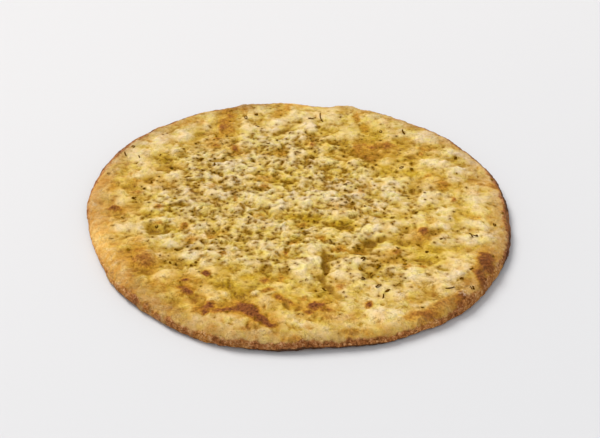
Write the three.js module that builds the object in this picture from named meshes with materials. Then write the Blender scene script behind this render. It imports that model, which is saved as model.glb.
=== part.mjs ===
// A round, thin focaccia baked with olive oil and dried oregano.
// Millimetres, +Z up. The origin is on the surface it rests on, under the
// middle of the loaf. The loaf is one baked solid: crust and crumb are one
// piece. The larger bits of dried oregano that lie on the crust are pieces of
// their own, each a thin solid just clear of the crust beneath it.
import * as THREE from 'three';

// ---- driving dimensions -------------------------------------------------
const RIM_HEIGHT = 10.4;        // top of the rounded rim above the resting plane
const CRUMB_HEIGHT = 11.2;      // mean height of the middle
const RIM_WIDTH = 9.0;          // how far in the rounded rim reaches
const FLAT_INSET = 9.0;         // the flat underside ends this far in from the outline
const RINGS = 24;               // rings of the top surface, 6 more points on each
const HERB_GAP = 0.3;           // clearance between a herb and the crust
const LEAF_THICKNESS = 0.6;
const STEM_THICKNESS = 0.8;

// Radius of the loaf's widest line every 5 degrees, counter-clockwise from +X.
const OUTLINE = [
  150.3, 150.5, 151.1, 151.5, 151.1, 150.2, 149.6, 149.8, 150.3, 150.2, 149.6, 149.5,
  149.5, 149.4, 149.8, 150.3, 148.8, 148, 148.9, 149.6, 151, 152.1, 152.4, 153.8,
  155.4, 155, 155, 155.9, 156.6, 157.1, 156.4, 155, 153.9, 153, 152.1, 150.8,
  149, 146.9, 145.7, 144.9, 144.1, 144.6, 145.6, 146.4, 146.6, 146.8, 146.9, 147.5,
  148.9, 149.6, 149.7, 149.5, 148.5, 147.9, 147, 146.4, 146.9, 147.9, 149.7, 150.2,
  150.9, 151.9, 152.8, 153.7, 153.3, 152.6, 152, 151.9, 152.1, 151.6, 150.9, 150.3,
];

// Rim section from the widest line: [offset inwards, share of the rim height].
const RIM_UPPER = [[0.0, 0.27], [0.5, 0.51], [2.4, 0.76], [5.4, 0.92]];
const RIM_LOWER = [[0.6, 1.0], [2.8, 0.3]];   // [offset inwards, height]

// Swellings and folds of the rim: [direction in degrees, half width in degrees, rise]
const RIM_SWELLS = [[75, 5, 0.8], [83, 4.5, -1.5], [98, 10, 0.6], [140, 14, 0.5], [262, 16, 0.4], [330, 12, 0.6]];

// Swellings and hollows of the baked top:
// [x, y, half length, half width, turn in degrees, height]
const RELIEF = [
  [-84.5, 112.5, 6, 8, 0, 0.3],
  [-53.5, 108.5, 7, 17, 8, 1],
  [-51.5, 124.5, 4, 5, 0, 0.3],
  [-57.5, 104.5, 3, 9, 5, 0.2],
  [-52.5, 97.5, 6, 6, 0, -0.8],
  [-61.5, 86.5, 7, 8, 0, 0.6],
  [-46.5, 75.5, 4, 6, 20, 0.8],
  [-55.5, 133.5, 6, 4, 0, 0.3],
  [-84.5, 66.5, 5, 6, 0, -1.6],
  [-95.5, 60.5, 9, 9, 0, -1],
  [-101.5, 72.5, 3.5, 9, 0, -0.7],
  [-98.5, 50.5, 12, 4, 0, -0.6],
  [-101.5, 90.5, 6, 13, 0, 0.9],
  [-68.5, 106.5, 5, 8, 0, 1],
  [-86.5, 93.5, 8, 8, 0, 1.1],
  [-118.5, 60.5, 10, 8, 0, 0.7],
  [-53.5, 50.5, 9, 5, 0, 1],
  [-56.5, 57.5, 6, 3, 0, -1.3],
  [-40.5, 133.5, 5, 7, 0, 0.5],
  [-6.5, 138.5, 4, 5, 0, 0.4],
  [-12.5, 128.5, 6, 8, 0, -0.3],
  [-28.5, 134.5, 8, 7, 0, 0.6],
  [1.5, 126.5, 6, 8, 0, 0.6],
  [-15.5, 113.5, 4, 6, 0, 0.8],
  [-11.5, 100.5, 8, 3.5, 35, -1.5],
  [11.5, 105.5, 4, 5, 0, 1],
  [-3.5, 75.5, 5, 9, 0, 1],
  [-38.5, 85.5, 6, 7, 0, 0.8],
  [-33.5, 65.5, 4, 5, 0, 0.9],
  [11.5, 81.5, 3.5, 5, 0, 0.9],
  [9.5, 72.5, 3, 6, -15, -0.6],
  [24.5, 99.5, 8, 6, 0, -1],
  [21.5, 84.5, 7, 6, 0, -0.6],
  [34.5, 78.5, 4, 9, 0, -0.7],
  [14.5, 90.5, 3, 5, 0, -0.5],
  [45.5, 77.5, 5, 8, 0, 0.4],
  [51.5, 81.5, 3, 3, 0, 0.4],
  [56.5, 76.5, 4.5, 4, -30, 0.6],
  [48.5, 66.5, 6, 6, 0, -0.4],
  [54.5, 63.5, 5, 8, 0, -0.6],
  [45.5, 118.5, 3, 9, 0, -0.4],
  [48.5, 126.5, 8, 8, 0, 0.5],
  [51.5, 104.5, 4, 8, 0, -0.6],
  [-12.5, 71.5, 8, 8, 0, -0.5],
  [32.5, 56.5, 5, 6, 0, -0.8],
  [-38.5, 46.5, 10, 6, 0, 0.9],
  [58.5, 113.5, 5, 3.5, 0, 0.8],
  [66.5, 78.5, 9, 7, 0, 0.9],
  [93.5, 75.5, 5, 3, 0, 0.5],
  [59.5, 87.5, 6, 3, 0, -0.4],
  [69.5, 66.5, 9, 6, 0, -1.2],
  [85.5, 60.5, 5, 8, 10, -1],
  [104.5, 68.5, 8, 8, 0, -0.5],
  [101.5, 77.5, 8, 3, 0, -0.6],
  [117.5, 59.5, 7, 8, 0, -1],
  [75.5, 97.5, 10, 6, 0, 0.9],
  [93.5, 88.5, 5, 8, -20, 0.7],
  [66.5, 114.5, 4, 5, 0, 0.6],
  [54.5, 52.5, 8, 7, 0, -0.8],
  [84.5, 109.5, 7, 5, -35, 0.2],
  [69.5, 121.5, 4, 3, -30, 0.2],
  [98.5, 54.5, 10, 6, 0, 0.9],
  [-124.5, 27.5, 10, 8, 0, -1.4],
  [-108.5, 33.5, 5, 6, 0, -0.8],
  [-128.5, -4.5, 6.5, 4, 0, 0.9],
  [-97.5, -2.5, 3.6, 4.5, -40, 0.5],
  [-91, -2.5, 4, 4, 0, -0.9],
  [-99.5, -11.5, 8, 5, 0, -0.8],
  [-102.5, -24.5, 5, 6, -30, -1.1],
  [-95.5, -31.5, 8, 4, -15, -1.2],
  [-88.5, -27.5, 5, 5, 0, -1],
  [-95.5, -22.5, 4.5, 3, -15, 0.3],
  [-77.5, -24.5, 4, 4.5, 0, 0.5],
  [-65.5, -25.5, 5, 4, 0, 1],
  [-90.5, -35.5, 5, 3, 0, 0.8],
  [-86.5, -45.5, 6, 5, 0, 0.8],
  [-118.5, -27.5, 10, 6, 0, 0.9],
  [-82.5, 20.5, 6, 5, 0, 1],
  [-73.5, 38.5, 5, 4, 0, 0.9],
  [-89.5, 40.5, 6, 4, 0, 0.8],
  [-60.5, 24.5, 3, 4, 0, 0.4],
  [-56.5, 43.5, 4, 4, -40, -1.4],
  [-72.5, 27.5, 10, 6, 0, -0.8],
  [-62.5, -3.5, 7, 5, 0, -0.8],
  [-58.5, -17.5, 4, 4, -40, -0.7],
  [-58.5, -37.5, 4.5, 4, 0, -0.3],
  [-71.5, -40.5, 4.2, 4, 0, -0.3],
  [-51.5, -32.5, 4, 3.5, 0, 0.2],
  [-108.5, -41.5, 7, 5, 0, 0.6],
  [-106.5, -52.5, 5, 4, 0, 0.3],
  [-115.5, -55.5, 6, 5, 0, -0.6],
  [-45.5, -19.5, 4, 9, 0, -0.7],
  [-96.5, 46.5, 10, 4, 0, -0.5],
  [-23.5, 35.5, 11, 6, 0, 0.5],
  [-22.5, 24.5, 4, 4, 0, -0.4],
  [-3.5, 25.5, 7, 8, 0, -0.9],
  [6.5, 27.5, 5, 4, -30, -1.3],
  [23.5, 37.5, 4, 3, 0, -0.3],
  [21.5, 27.5, 4.5, 3, 0, -0.4],
  [45.5, 18.5, 3, 5.5, 8, 0.6],
  [29.5, -2.5, 4.5, 4, 0, 0.3],
  [-26.5, -11.5, 5, 4, 0, 0.4],
  [-3.5, -12.5, 10, 4.5, 0, -1.3],
  [11.5, -13.5, 8, 6, 0, -1.4],
  [30.5, -23.5, 9, 6, 0, -1.7],
  [3.5, -22.5, 4, 3, 0, 0.2],
  [-10.5, -26.5, 5, 4, 0, 0.9],
  [51.5, -27.5, 8, 4, 0, 1.8],
  [10.5, 15.5, 5, 6, 0, 1.1],
  [6.5, 4.5, 5, 4, 0, 0.7],
  [-33.5, 15.5, 5, 5, 0, 1],
  [-12.5, 0.5, 7, 4, 0, 0.8],
  [46.5, -34.5, 6, 3, 0, 0.9],
  [-46.5, 30.5, 6, 5, 0, 0.8],
  [2.5, -31.5, 5, 3, 0, 0.6],
  [49.5, -44.5, 5.5, 4.5, 35, -3.6],
  [42.5, -49.5, 4, 3, 0, -1.5],
  [-2.5, -45.5, 5.5, 3.6, 25, -0.9],
  [16.5, -38.5, 4, 4, 0, -1],
  [29.5, -51.5, 5.5, 4, 0, -1.2],
  [42.5, -54.5, 8, 4, 0, -1.4],
  [-36.5, -31.5, 6, 5, 0, -0.8],
  [-23.5, -30.5, 6, 4, 0, -0.5],
  [-25.5, -45.5, 8, 5, 0, 0.9],
  [-45.5, -50.5, 4, 4, 0, 0.8],
  [11.5, -52.5, 5, 4, 0, 0.9],
  [32.5, -34.5, 5, 3, 0, 0.7],
  [87.5, -32.5, 4.6, 6, 0, 1.4],
  [96.5, -32.5, 6, 6, 0, -1],
  [79.5, -44.5, 10, 6, 0, -0.9],
  [93.5, -52.5, 7, 5, 0, -1.3],
  [83.5, 41.5, 8, 6, 0, -0.9],
  [105.5, 26.5, 6, 5, 0, 0.4],
  [105.5, 19.5, 4, 3, 0, -0.6],
  [115.5, 25.5, 6, 5, 0, -1],
  [132.5, 26.5, 3.6, 3, 0, 0.5],
  [141.5, 25.5, 5, 4.5, 0, 0.4],
  [113.5, -12.5, 6, 7, 0, -0.8],
  [123.5, -15.5, 6, 4, 0, -0.5],
  [136.5, -11.5, 8, 6, 0, -0.4],
  [85.5, 16.5, 5, 4, 0, -0.9],
  [67.5, -14.5, 7, 5, 0, -0.7],
  [74.5, -27.5, 5, 4, 0, -1],
  [93.5, -6.5, 5, 6, 0, -0.7],
  [93.5, -18.5, 6, 5, 0, -0.6],
  [67.5, 10.5, 8, 6, 0, 0.9],
  [85.5, -16.5, 4, 6, 0, 1.1],
  [96.5, 14.5, 6, 6, 0, 0.7],
  [104.5, -16.5, 5, 3, 0, 0.9],
  [127.5, 8.5, 10, 7, 0, 0.7],
  [116.5, -42.5, 12, 6, 0, 0.8],
  [129.5, -25.5, 8, 5, 0, 0.6],
  [66.5, -30.5, 4, 4, 0, 1],
  [74.5, 27.5, 6, 5, 0, 0.8],
  [58.5, 3.5, 4, 5, 0, 0.9],
  [120.5, 44.5, 8, 5, 0, 0.9],
  [67.5, -56.5, 4.2, 4.6, 0, 0.9],
  [-101.5, -64.5, 9.5, 9, -25, 2.2],
  [-102.5, -80.5, 7, 3, 0, -1],
  [-115.5, -71.5, 5, 7, 0, 1],
  [-88.5, -80.5, 7, 4, 15, 0.8],
  [-59.5, -79.5, 3.4, 3.2, -40, -0.5],
  [-70.5, -99.5, 3, 5, 25, 0.3],
  [-56.5, -113.5, 5.5, 3.6, 15, 0.7],
  [-78.5, -113.5, 9, 6, 0, -0.8],
  [-64.5, -89.5, 4, 3.5, 0, -0.7],
  [-58.5, -97.5, 6, 5, 0, 0.9],
  [-98.5, -109.5, 4.5, 4, 0, 0.2],
  [-108.5, -94.5, 3, 6, 35, -0.2],
  [-44.5, -91.5, 7, 5, 0, -1.2],
  [-32.5, -115.5, 5, 4.5, -40, 0.5],
  [-28.5, -120.5, 6, 4, -50, 0.4],
  [-22.5, -126.5, 5, 3.5, -45, 0.3],
  [-16.5, -132.5, 4.5, 3.5, -35, 0.3],
  [-33.5, -103.5, 8, 7, 0, -1],
  [-33.5, -84.5, 7, 4, 0, -0.6],
  [-18.5, -97.5, 6, 3, 20, -0.5],
  [-11.5, -105.5, 4, 5, 30, -0.5],
  [1.5, -75.5, 6, 7, -25, 1.8],
  [5.5, -84.5, 6, 5, 0, 1.1],
  [11.5, -64.5, 6, 5, 0, 1.2],
  [19.5, -62.5, 3.2, 7, -5, -2.2],
  [19, -73.5, 3, 7, -3, -2.8],
  [16.5, -84.5, 3, 5, 5, -1.6],
  [34.5, -67.5, 9, 6, 0, 1.2],
  [28.5, -77.5, 5, 7, 0, 1],
  [28.5, -93.5, 3.2, 5.5, -25, 0.3],
  [4.5, -106.5, 3.5, 3, 0, 0.4],
  [11.5, -113.5, 6, 4, 25, 0.5],
  [56.5, -123.5, 12, 8, -10, 1.2],
  [28.5, -124.5, 7, 4, 10, 0.8],
  [45.5, -113.5, 3.6, 3.6, 0, 0.3],
  [40.5, -97.5, 8, 9, 0, -0.4],
  [-31.5, -133.5, 9, 5, 0, -0.5],
  [2.5, -131.5, 8, 3, 0, 0.5],
  [-20.5, -86.5, 4.2, 4, 0, 0.3],
  [-10.5, -84.5, 3, 6, 0, -0.3],
  [-20.5, -73.5, 5, 4, 0, -1],
  [-6.5, -62.5, 5, 4, 0, -0.8],
  [-40.5, -71.5, 7, 6, 0, -0.9],
  [-35.5, -63.5, 9, 3, 30, 1],
  [-32.5, -75.5, 5, 3.6, 0, 0.7],
  [36.5, -82.5, 9, 4, 0, 0.7],
  [127.5, -64.5, 6.5, 6, 0, 0.7],
  [127.5, -72.5, 6, 6, 20, 0.8],
  [121.5, -81.5, 5, 5, 20, 0.4],
  [125.5, -57.5, 6, 3, 0, 0.4],
  [108.5, -101.5, 5.5, 4, -20, 0.9],
  [107.5, -107.5, 5, 4, 30, 0.2],
  [84.5, -120.5, 11, 4.5, 0, 0.6],
  [76.5, -131.5, 5, 4, 0, 0.3],
  [73.5, -71.5, 4, 3, 0, 0.3],
  [83.5, -71.5, 4.5, 3, 0, -0.3],
  [89.5, -64.5, 9, 5, 0, -1],
  [76.5, -92.5, 5, 5, 0, 0.3],
  [69.5, -106.5, 5, 4, 0, 0.2],
  [76.5, -81.5, 8, 6, 0, 0.9],
  [106.5, -73.5, 6, 10, -10, 0.9],
  [90.5, -85.5, 6, 5, 0, 0.6],
  [116.5, -62.5, 5, 5, 0, 0.6],
  [89.5, -111.5, 12, 4.5, 5, 1.2],
  [114.5, -82.5, 5, 6, 0, -0.4],
  [64.5, -65.5, 7, 4, 0, -0.7],
  [54.5, -60.5, 6, 3, 0, 0.6],
  [61.5, -46.5, 4, 3, 0, 1.4],
  [-70.5, -57.5, 8, 6, 0, 1],
  [-60.5, -69.5, 5, 4, 0, 0.7],
  [-18.5, 45.5, 6, 4, 0, 0.4],
  [23.5, 8.5, 8, 4, -15, 0.7],
  [36.5, 22.5, 8, 4, -30, 0.7],
  [38.5, -9.5, 6, 5, 0, 0.5],
  [16.5, -7.5, 4, 3, 0, 0.7],
  [-8.5, -43.5, 5, 4, 0, 0.5],
  [64.5, 45.5, 8, 6, 0, -0.5],
  [34.5, 45.5, 6, 5, 0, -0.5],
  [-33.5, -32.5, 3, 4, 30, -0.8],
  [-66.5, -103.5, 5, 3, -50, -0.7],
];

// Larger bits of dried herb: [name, x, y, length, width, turn in degrees]
const HERBS = [
  ['oregano_leaf_01', 44.5, -64.5, 5.6, 2.8, 65],
  ['oregano_leaf_02', 43.7, -86, 3.8, 2.4, -50],
  ['oregano_leaf_03', 53.5, -94, 6, 2.2, 55],
  ['oregano_leaf_04', 59, -98.5, 4, 2.6, 15],
  ['oregano_stem_01', 56, -104.5, 4.2, 1, 80],
  ['oregano_leaf_05', 19.7, -77, 4.2, 2, 62],
  ['oregano_leaf_06', 18, -95.3, 3.6, 1.8, -42],
  ['oregano_leaf_07', 88, -54.5, 3.2, 2, 60],
  ['oregano_leaf_08', 115.9, -75.5, 3.2, 2, 48],
  ['oregano_leaf_09', 114.7, -93, 3.4, 2.6, 100],
  ['oregano_stem_02', 100, -95.1, 6, 1.1, 14],
  ['oregano_leaf_10', 108.7, -84.8, 3.2, 1.5, 32],
  ['oregano_leaf_11', 137.1, -23.1, 4.2, 2.2, 98],
  ['oregano_sprig_01', 119.8, -36, 8, 1.1, -62],
  ['oregano_leaf_12', 98.7, -40.9, 3, 1.6, 30],
  ['oregano_leaf_13', 84.3, -8, 3.4, 1.8, 60],
  ['oregano_leaf_14', 48, -0.7, 2.6, 2, 90],
  ['oregano_leaf_15', 91.4, 15.8, 2.6, 1.8, 95],
  ['oregano_leaf_16', 76.9, 48.5, 4.2, 2.2, 42],
  ['oregano_leaf_17', 117.9, 63.1, 3.8, 2.2, 84],
  ['oregano_stem_03', 81.1, 97.9, 5.4, 1.5, -70],
  ['oregano_leaf_18', 64, 100.5, 2.8, 2.2, 80],
  ['oregano_stem_04', 18.5, 120, 13, 1, -82],
  ['oregano_leaf_19', 10.8, 118.7, 5, 1.8, 16],
  ['oregano_leaf_20', -39.7, 120.5, 4.6, 2.3, 92],
  ['oregano_leaf_21', -31.5, 125, 4.2, 3, 70],
  ['oregano_leaf_22', -30.5, 108.1, 3, 2, -10],
  ['oregano_leaf_23', -22, 82.9, 3.4, 2.2, 0],
  ['oregano_leaf_24', -70.7, 60.9, 3, 2.2, 20],
  ['oregano_leaf_25', -60.7, 52.3, 3, 2.4, -40],
  ['oregano_stem_05', -117.1, 63, 3.6, 1, -75],
  ['oregano_stem_06', -128.1, 68.5, 5.2, 1.1, -72],
  ['oregano_leaf_26', -105.5, 31.5, 3.8, 1.8, 82],
  ['oregano_leaf_27', -116.5, 10.1, 2.6, 2.2, 0],
  ['oregano_leaf_28', -84.3, -67.5, 2.8, 2, -50],
  ['oregano_leaf_29', -79.7, 37.9, 3.6, 2.6, 0],
];

// ---- shape functions ----------------------------------------------------
const TAU = Math.PI * 2;
const clamp = (v, a, b) => Math.min(b, Math.max(a, v));
const smooth = (a, b, v) => { const t = clamp((v - a) / (b - a), 0, 1); return t * t * (3 - 2 * t); };

function hash(ix, iy, seed) {
  let n = Math.imul(ix, 374761393) ^ Math.imul(iy, 668265263) ^ Math.imul(seed, 1442695041);
  n = Math.imul(n ^ (n >>> 13), 1274126177);
  n = Math.imul(n ^ (n >>> 16), 2246822519);
  n ^= n >>> 13;
  return ((n >>> 8) & 0xffffff) / 16777216;
}

function noise(x, y, seed) {
  const ix = Math.floor(x), iy = Math.floor(y), fx = x - ix, fy = y - iy;
  const g = (i, j) => {
    const a = TAU * hash(ix + i, iy + j, seed);
    return Math.cos(a) * (fx - i) + Math.sin(a) * (fy - j);
  };
  const u = fx * fx * fx * (fx * (fx * 6 - 15) + 10), v = fy * fy * fy * (fy * (fy * 6 - 15) + 10);
  const a = g(0, 0) * (1 - u) + g(1, 0) * u, b = g(0, 1) * (1 - u) + g(1, 1) * u;
  return 1.5 * (a * (1 - v) + b * v);
}

function outline(theta) {
  const n = OUTLINE.length, u = (((theta / TAU) % 1) + 1) % 1 * n;
  const i = Math.floor(u), f = u - i, p = (k) => OUTLINE[(i + k + n) % n];
  return 0.5 * (2 * p(0) + (p(1) - p(-1)) * f + (2 * p(-1) - 5 * p(0) + 4 * p(1) - p(2)) * f * f
    + (3 * p(0) - p(-1) - 3 * p(1) + p(2)) * f * f * f);
}

// Height of the top crust at x, y, which lies d inside the outline.
function topHeight(x, y, d) {
  const wx = x + 4 * noise(x / 21, y / 21, 7), wy = y + 4 * noise(x / 21, y / 21, 8);
  const inner = smooth(4, 24, d);
  let z = RIM_HEIGHT + (CRUMB_HEIGHT - RIM_HEIGHT) * inner;
  z -= (RIM_HEIGHT * 0.10) * (1 - smooth(2, RIM_WIDTH + 2, d));
  z += (0.35 + 0.65 * inner) * 0.9 * noise(wx / 34, wy / 34, 1);
  z += (0.25 + 0.75 * inner) * 0.9 * noise(wx / 15, wy / 15, 2);
  const qx = x + 1.6 * noise(x / 7, y / 7, 21), qy = y + 1.6 * noise(x / 7, y / 7, 22);
  for (const [fx, fy, rx, ry, turn, h] of RELIEF) {
    const dx = qx - fx, dy = qy - fy;
    const reach = 1.5 * Math.max(rx, ry);
    if (dx > reach || dx < -reach || dy > reach || dy < -reach) continue;
    const a = turn * Math.PI / 180, c = Math.cos(a), s = Math.sin(a);
    const q = Math.hypot((dx * c + dy * s) / rx, (-dx * s + dy * c) / ry);
    z += h * (1 - smooth(0.35, 1.4, q));
  }
  return z;
}

// The rim swells and sinks a little on its way round, with one fold at the back.
function rimHeight(theta) {
  let h = RIM_HEIGHT * (1 + 0.07 * noise(3 * Math.cos(theta) + 9, 3 * Math.sin(theta) + 9, 5));
  for (const [at, width, rise] of RIM_SWELLS) {
    const off = Math.abs(((theta * 180 / Math.PI - at + 540) % 360) - 180);
    h += rise * (1 - smooth(0.2, 1.5, off / width));
  }
  return h;
}

// ---- the loaf -----------------------------------------------------------
function makeLoaf() {
  const points = [];
  const faces = [];
  const add = (x, y, z) => points.push(new THREE.Vector3(x, y, z)) - 1;
  const ring = (count, place) => {
    const ids = [];
    for (let i = 0; i < count; i++) ids.push(add(...place((i / count) * TAU)));
    return ids;
  };
  // Joins an inner ring to an outer ring with a different count of points.
  const stitch = (inner, outer, up) => {
    const n = inner.length, m = outer.length;
    let i = 0, j = 0;
    while (i < n || j < m) {
      const stepOuter = j < m && (i >= n || (j + 0.5) / m <= (i + 0.5) / n);
      const a = inner[i % n], b = outer[j % m];
      const c = stepOuter ? outer[(j + 1) % m] : inner[(i + 1) % n];
      faces.push(up ? [a, b, c] : [a, c, b]);
      if (stepOuter) j++; else i++;
    }
  };
  const rounded = (inset, height) => (t) => {
    const r = outline(t) - inset;
    return [r * Math.cos(t), r * Math.sin(t), height(t, r)];
  };

  // Top, from the middle out.
  let last = null;
  const centre = add(0, 0, topHeight(0, 0, outline(0)));
  for (let k = 1; k <= RINGS; k++) {
    const ids = ring(6 * k, (t) => {
      const r = (outline(t) - RIM_WIDTH) * k / RINGS;
      const x = r * Math.cos(t), y = r * Math.sin(t);
      const edge = smooth(0.75, 1, k / RINGS);
      return [x, y, topHeight(x, y, outline(t) - r) + edge * (rimHeight(t) - RIM_HEIGHT)];
    });
    if (last) stitch(last, ids, true);
    else for (let i = 0; i < 6; i++) faces.push([centre, ids[i], ids[(i + 1) % 6]]);
    last = ids;
  }
  // Round the rim and back under.
  const n = 6 * RINGS;
  for (const [inset, share] of [...RIM_UPPER].reverse()) {
    const ids = ring(n, rounded(inset, (t) => rimHeight(t) * share));
    stitch(last, ids, true);
    last = ids;
  }
  for (const [inset, height] of RIM_LOWER) {
    const ids = ring(n, rounded(inset, () => height));
    stitch(last, ids, true);
    last = ids;
  }
  // Flat underside.
  const flats = [[96, FLAT_INSET], [36, 60], [12, 105], [3, 128]];
  for (const [count, inset] of flats) {
    const ids = ring(count, rounded(inset, () => 0));
    stitch(ids, last, false);
    last = ids;
  }
  faces.push([last[0], last[2], last[1]]);

  // Centre the outline's box on the axes.
  const box = new THREE.Box3().setFromPoints(points), mid = box.getCenter(new THREE.Vector3());
  for (const p of points) { p.x -= mid.x; p.y -= mid.y; }
  const geometry = new THREE.BufferGeometry();
  geometry.setAttribute('position', new THREE.Float32BufferAttribute(points.flatMap((p) => [p.x, p.y, p.z]), 3));
  geometry.setIndex(faces.flat());
  geometry.computeVertexNormals();
  return { geometry, points, faces, mid };
}

// ---- the herbs ----------------------------------------------------------
function leafShape(length, width) {
  const l = length / 2, w = width / 2, s = new THREE.Shape();
  s.moveTo(-l, 0);
  s.lineTo(-0.45 * l, -0.85 * w);
  s.lineTo(0.25 * l, -w);
  s.lineTo(l, 0);
  s.lineTo(0.35 * l, 0.9 * w);
  s.lineTo(-0.5 * l, 0.8 * w);
  s.closePath();
  return s;
}

function sprigShape(length, width) {
  const l = length / 2, w = width / 2, s = new THREE.Shape();
  s.moveTo(-l, -w * 0.8);
  s.lineTo(0.1 * l, -w);
  s.lineTo(0.85 * l, -2.6 * w);
  s.lineTo(l, -1.5 * w);
  s.lineTo(0.55 * l, 0);
  s.lineTo(l, 1.7 * w);
  s.lineTo(0.8 * l, 2.8 * w);
  s.lineTo(0.1 * l, w);
  s.lineTo(-l, w * 0.8);
  s.closePath();
  return s;
}

// Crust heights under a small patch, read from the loaf's own triangles.
function patch(points, faces, x, y, ux, uy, l, w) {
  const near = faces.filter((f) => f.some((i) => Math.hypot(points[i].x - x, points[i].y - y) < l + 12)
    && f.every((i) => points[i].z > 5));
  const samples = [];
  for (let i = -4; i <= 4; i++) {
    for (let j = -4; j <= 4; j++) {
      const a = (i / 4) * l, b = (j / 4) * w;
      const px = x + a * ux - b * uy, py = y + a * uy + b * ux;
      for (const [p, q, r] of near) {
        const A = points[p], B = points[q], C = points[r];
        const det = (B.x - A.x) * (C.y - A.y) - (C.x - A.x) * (B.y - A.y);
        const s = ((px - A.x) * (C.y - A.y) - (C.x - A.x) * (py - A.y)) / det;
        const t = ((B.x - A.x) * (py - A.y) - (px - A.x) * (B.y - A.y)) / det;
        if (s < -1e-6 || t < -1e-6 || s + t > 1 + 1e-6) continue;
        samples.push([a, b, A.z + s * (B.z - A.z) + t * (C.z - A.z)]);
        break;
      }
    }
  }
  return samples;
}

function makeHerb(loaf, [name, px, py, length, width, turn], material) {
  const x = px - loaf.mid.x, y = py - loaf.mid.y;
  const stem = name.includes('stem'), sprig = name.includes('sprig');
  const a = turn * Math.PI / 180, ux = Math.cos(a), uy = Math.sin(a);
  const l = length / 2, w = (sprig ? 2.8 : 1) * width / 2;
  const s = patch(loaf.points, loaf.faces, x, y, ux, uy, l + 0.2, w + 0.2);
  // Plane through the crust under the piece, then the highest crust above it.
  let sa = 0, sb = 0, saz = 0, sbz = 0, sz = 0;
  for (const [p, q, z] of s) { sa += p * p; sb += q * q; saz += p * z; sbz += q * z; sz += z; }
  const slopeA = saz / sa, slopeB = sbz / sb, mean = sz / s.length;
  const lift = Math.max(...s.map(([p, q, z]) => z - mean - slopeA * p - slopeB * q));
  const thick = stem || sprig ? STEM_THICKNESS : LEAF_THICKNESS;
  let geometry;
  if (stem) {
    geometry = new THREE.CylinderGeometry(width * 0.42, width * 0.5, length, 6);
    geometry.rotateZ(-Math.PI / 2);
    geometry.scale(1, 1, thick / width);
    geometry.translate(0, 0, thick / 2);
  } else {
    geometry = new THREE.ExtrudeGeometry(sprig ? sprigShape(length, width) : leafShape(length, width),
      { depth: thick, bevelEnabled: false });
  }
  const mesh = new THREE.Mesh(geometry, material);
  mesh.name = name;
  const along = new THREE.Vector3(ux, uy, slopeA).normalize();
  const across = new THREE.Vector3(-uy, ux, slopeB);
  const up = new THREE.Vector3().crossVectors(along, across).normalize();
  across.crossVectors(up, along);
  mesh.quaternion.setFromRotationMatrix(new THREE.Matrix4().makeBasis(along, across, up));
  mesh.position.set(x, y, mean + lift + HERB_GAP / up.z + 0.05);
  return mesh;
}

// ---- assembly -----------------------------------------------------------
const focaccia = new THREE.Group();
focaccia.name = 'focaccia';

const loafSolid = makeLoaf();
const loaf = new THREE.Mesh(
  loafSolid.geometry,
  new THREE.MeshStandardMaterial({ color: 0xd9b26a, roughness: 0.72, metalness: 0 }),
);
loaf.name = 'loaf';
focaccia.add(loaf);

const herbs = new THREE.Group();
HERBS.forEach((row, i) => {
  const shade = [0x3d3212, 0x4a3f18, 0x33290f][i % 3];
  herbs.add(makeHerb(loafSolid, row, new THREE.MeshStandardMaterial({ color: shade, roughness: 0.85, metalness: 0 })));
});
focaccia.add(herbs);

export default focaccia;
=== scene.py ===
"""A round focaccia with olive oil and dried oregano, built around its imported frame.

Every length below is in millimetres until it becomes a mesh, which is in metres.
"""
import math

import bpy
import numpy as np
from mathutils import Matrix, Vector


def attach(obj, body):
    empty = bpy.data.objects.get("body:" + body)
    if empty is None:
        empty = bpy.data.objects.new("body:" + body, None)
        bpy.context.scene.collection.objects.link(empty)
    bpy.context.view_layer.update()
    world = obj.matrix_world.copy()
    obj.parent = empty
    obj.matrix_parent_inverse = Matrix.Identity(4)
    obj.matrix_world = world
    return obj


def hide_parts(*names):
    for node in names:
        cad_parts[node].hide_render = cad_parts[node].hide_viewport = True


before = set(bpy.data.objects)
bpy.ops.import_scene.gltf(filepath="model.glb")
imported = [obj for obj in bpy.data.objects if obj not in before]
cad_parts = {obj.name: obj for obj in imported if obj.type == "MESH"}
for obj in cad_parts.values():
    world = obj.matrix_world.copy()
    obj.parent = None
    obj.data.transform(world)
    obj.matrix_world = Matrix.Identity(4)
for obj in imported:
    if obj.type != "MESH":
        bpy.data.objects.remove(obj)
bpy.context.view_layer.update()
MM = 0.001
TAU = 2 * math.pi

# ---------------------------------------------------------------- dimensions
RIM_HEIGHT = 10.4
CRUMB_HEIGHT = 11.2
RIM_WIDTH = 9.0
CENTRE = np.array([0.04, 0.87, 0.0])   # middle of the outline's box, which is put on the origin
TOP_RINGS = 150
UNDER_RINGS = 46

# radius of the widest line every 5 degrees, counter-clockwise from +X
OUTLINE = np.array([
    150.3, 150.5, 151.1, 151.5, 151.1, 150.2, 149.6, 149.8, 150.3, 150.2, 149.6, 149.5,
    149.5, 149.4, 149.8, 150.3, 148.8, 148, 148.9, 149.6, 151, 152.1, 152.4, 153.8,
    155.4, 155, 155, 155.9, 156.6, 157.1, 156.4, 155, 153.9, 153, 152.1, 150.8,
    149, 146.9, 145.7, 144.9, 144.1, 144.6, 145.6, 146.4, 146.6, 146.8, 146.9, 147.5,
    148.9, 149.6, 149.7, 149.5, 148.5, 147.9, 147, 146.4, 146.9, 147.9, 149.7, 150.2,
    150.9, 151.9, 152.8, 153.7, 153.3, 152.6, 152, 151.9, 152.1, 151.6, 150.9, 150.3,
])
# swellings and folds of the rim: direction, half width (degrees), rise
RIM_SWELLS = [(75, 5, 0.8), (83, 4.5, -1.5), (98, 10, 0.6), (140, 14, 0.5), (262, 16, 0.4), (330, 12, 0.6)]

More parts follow.
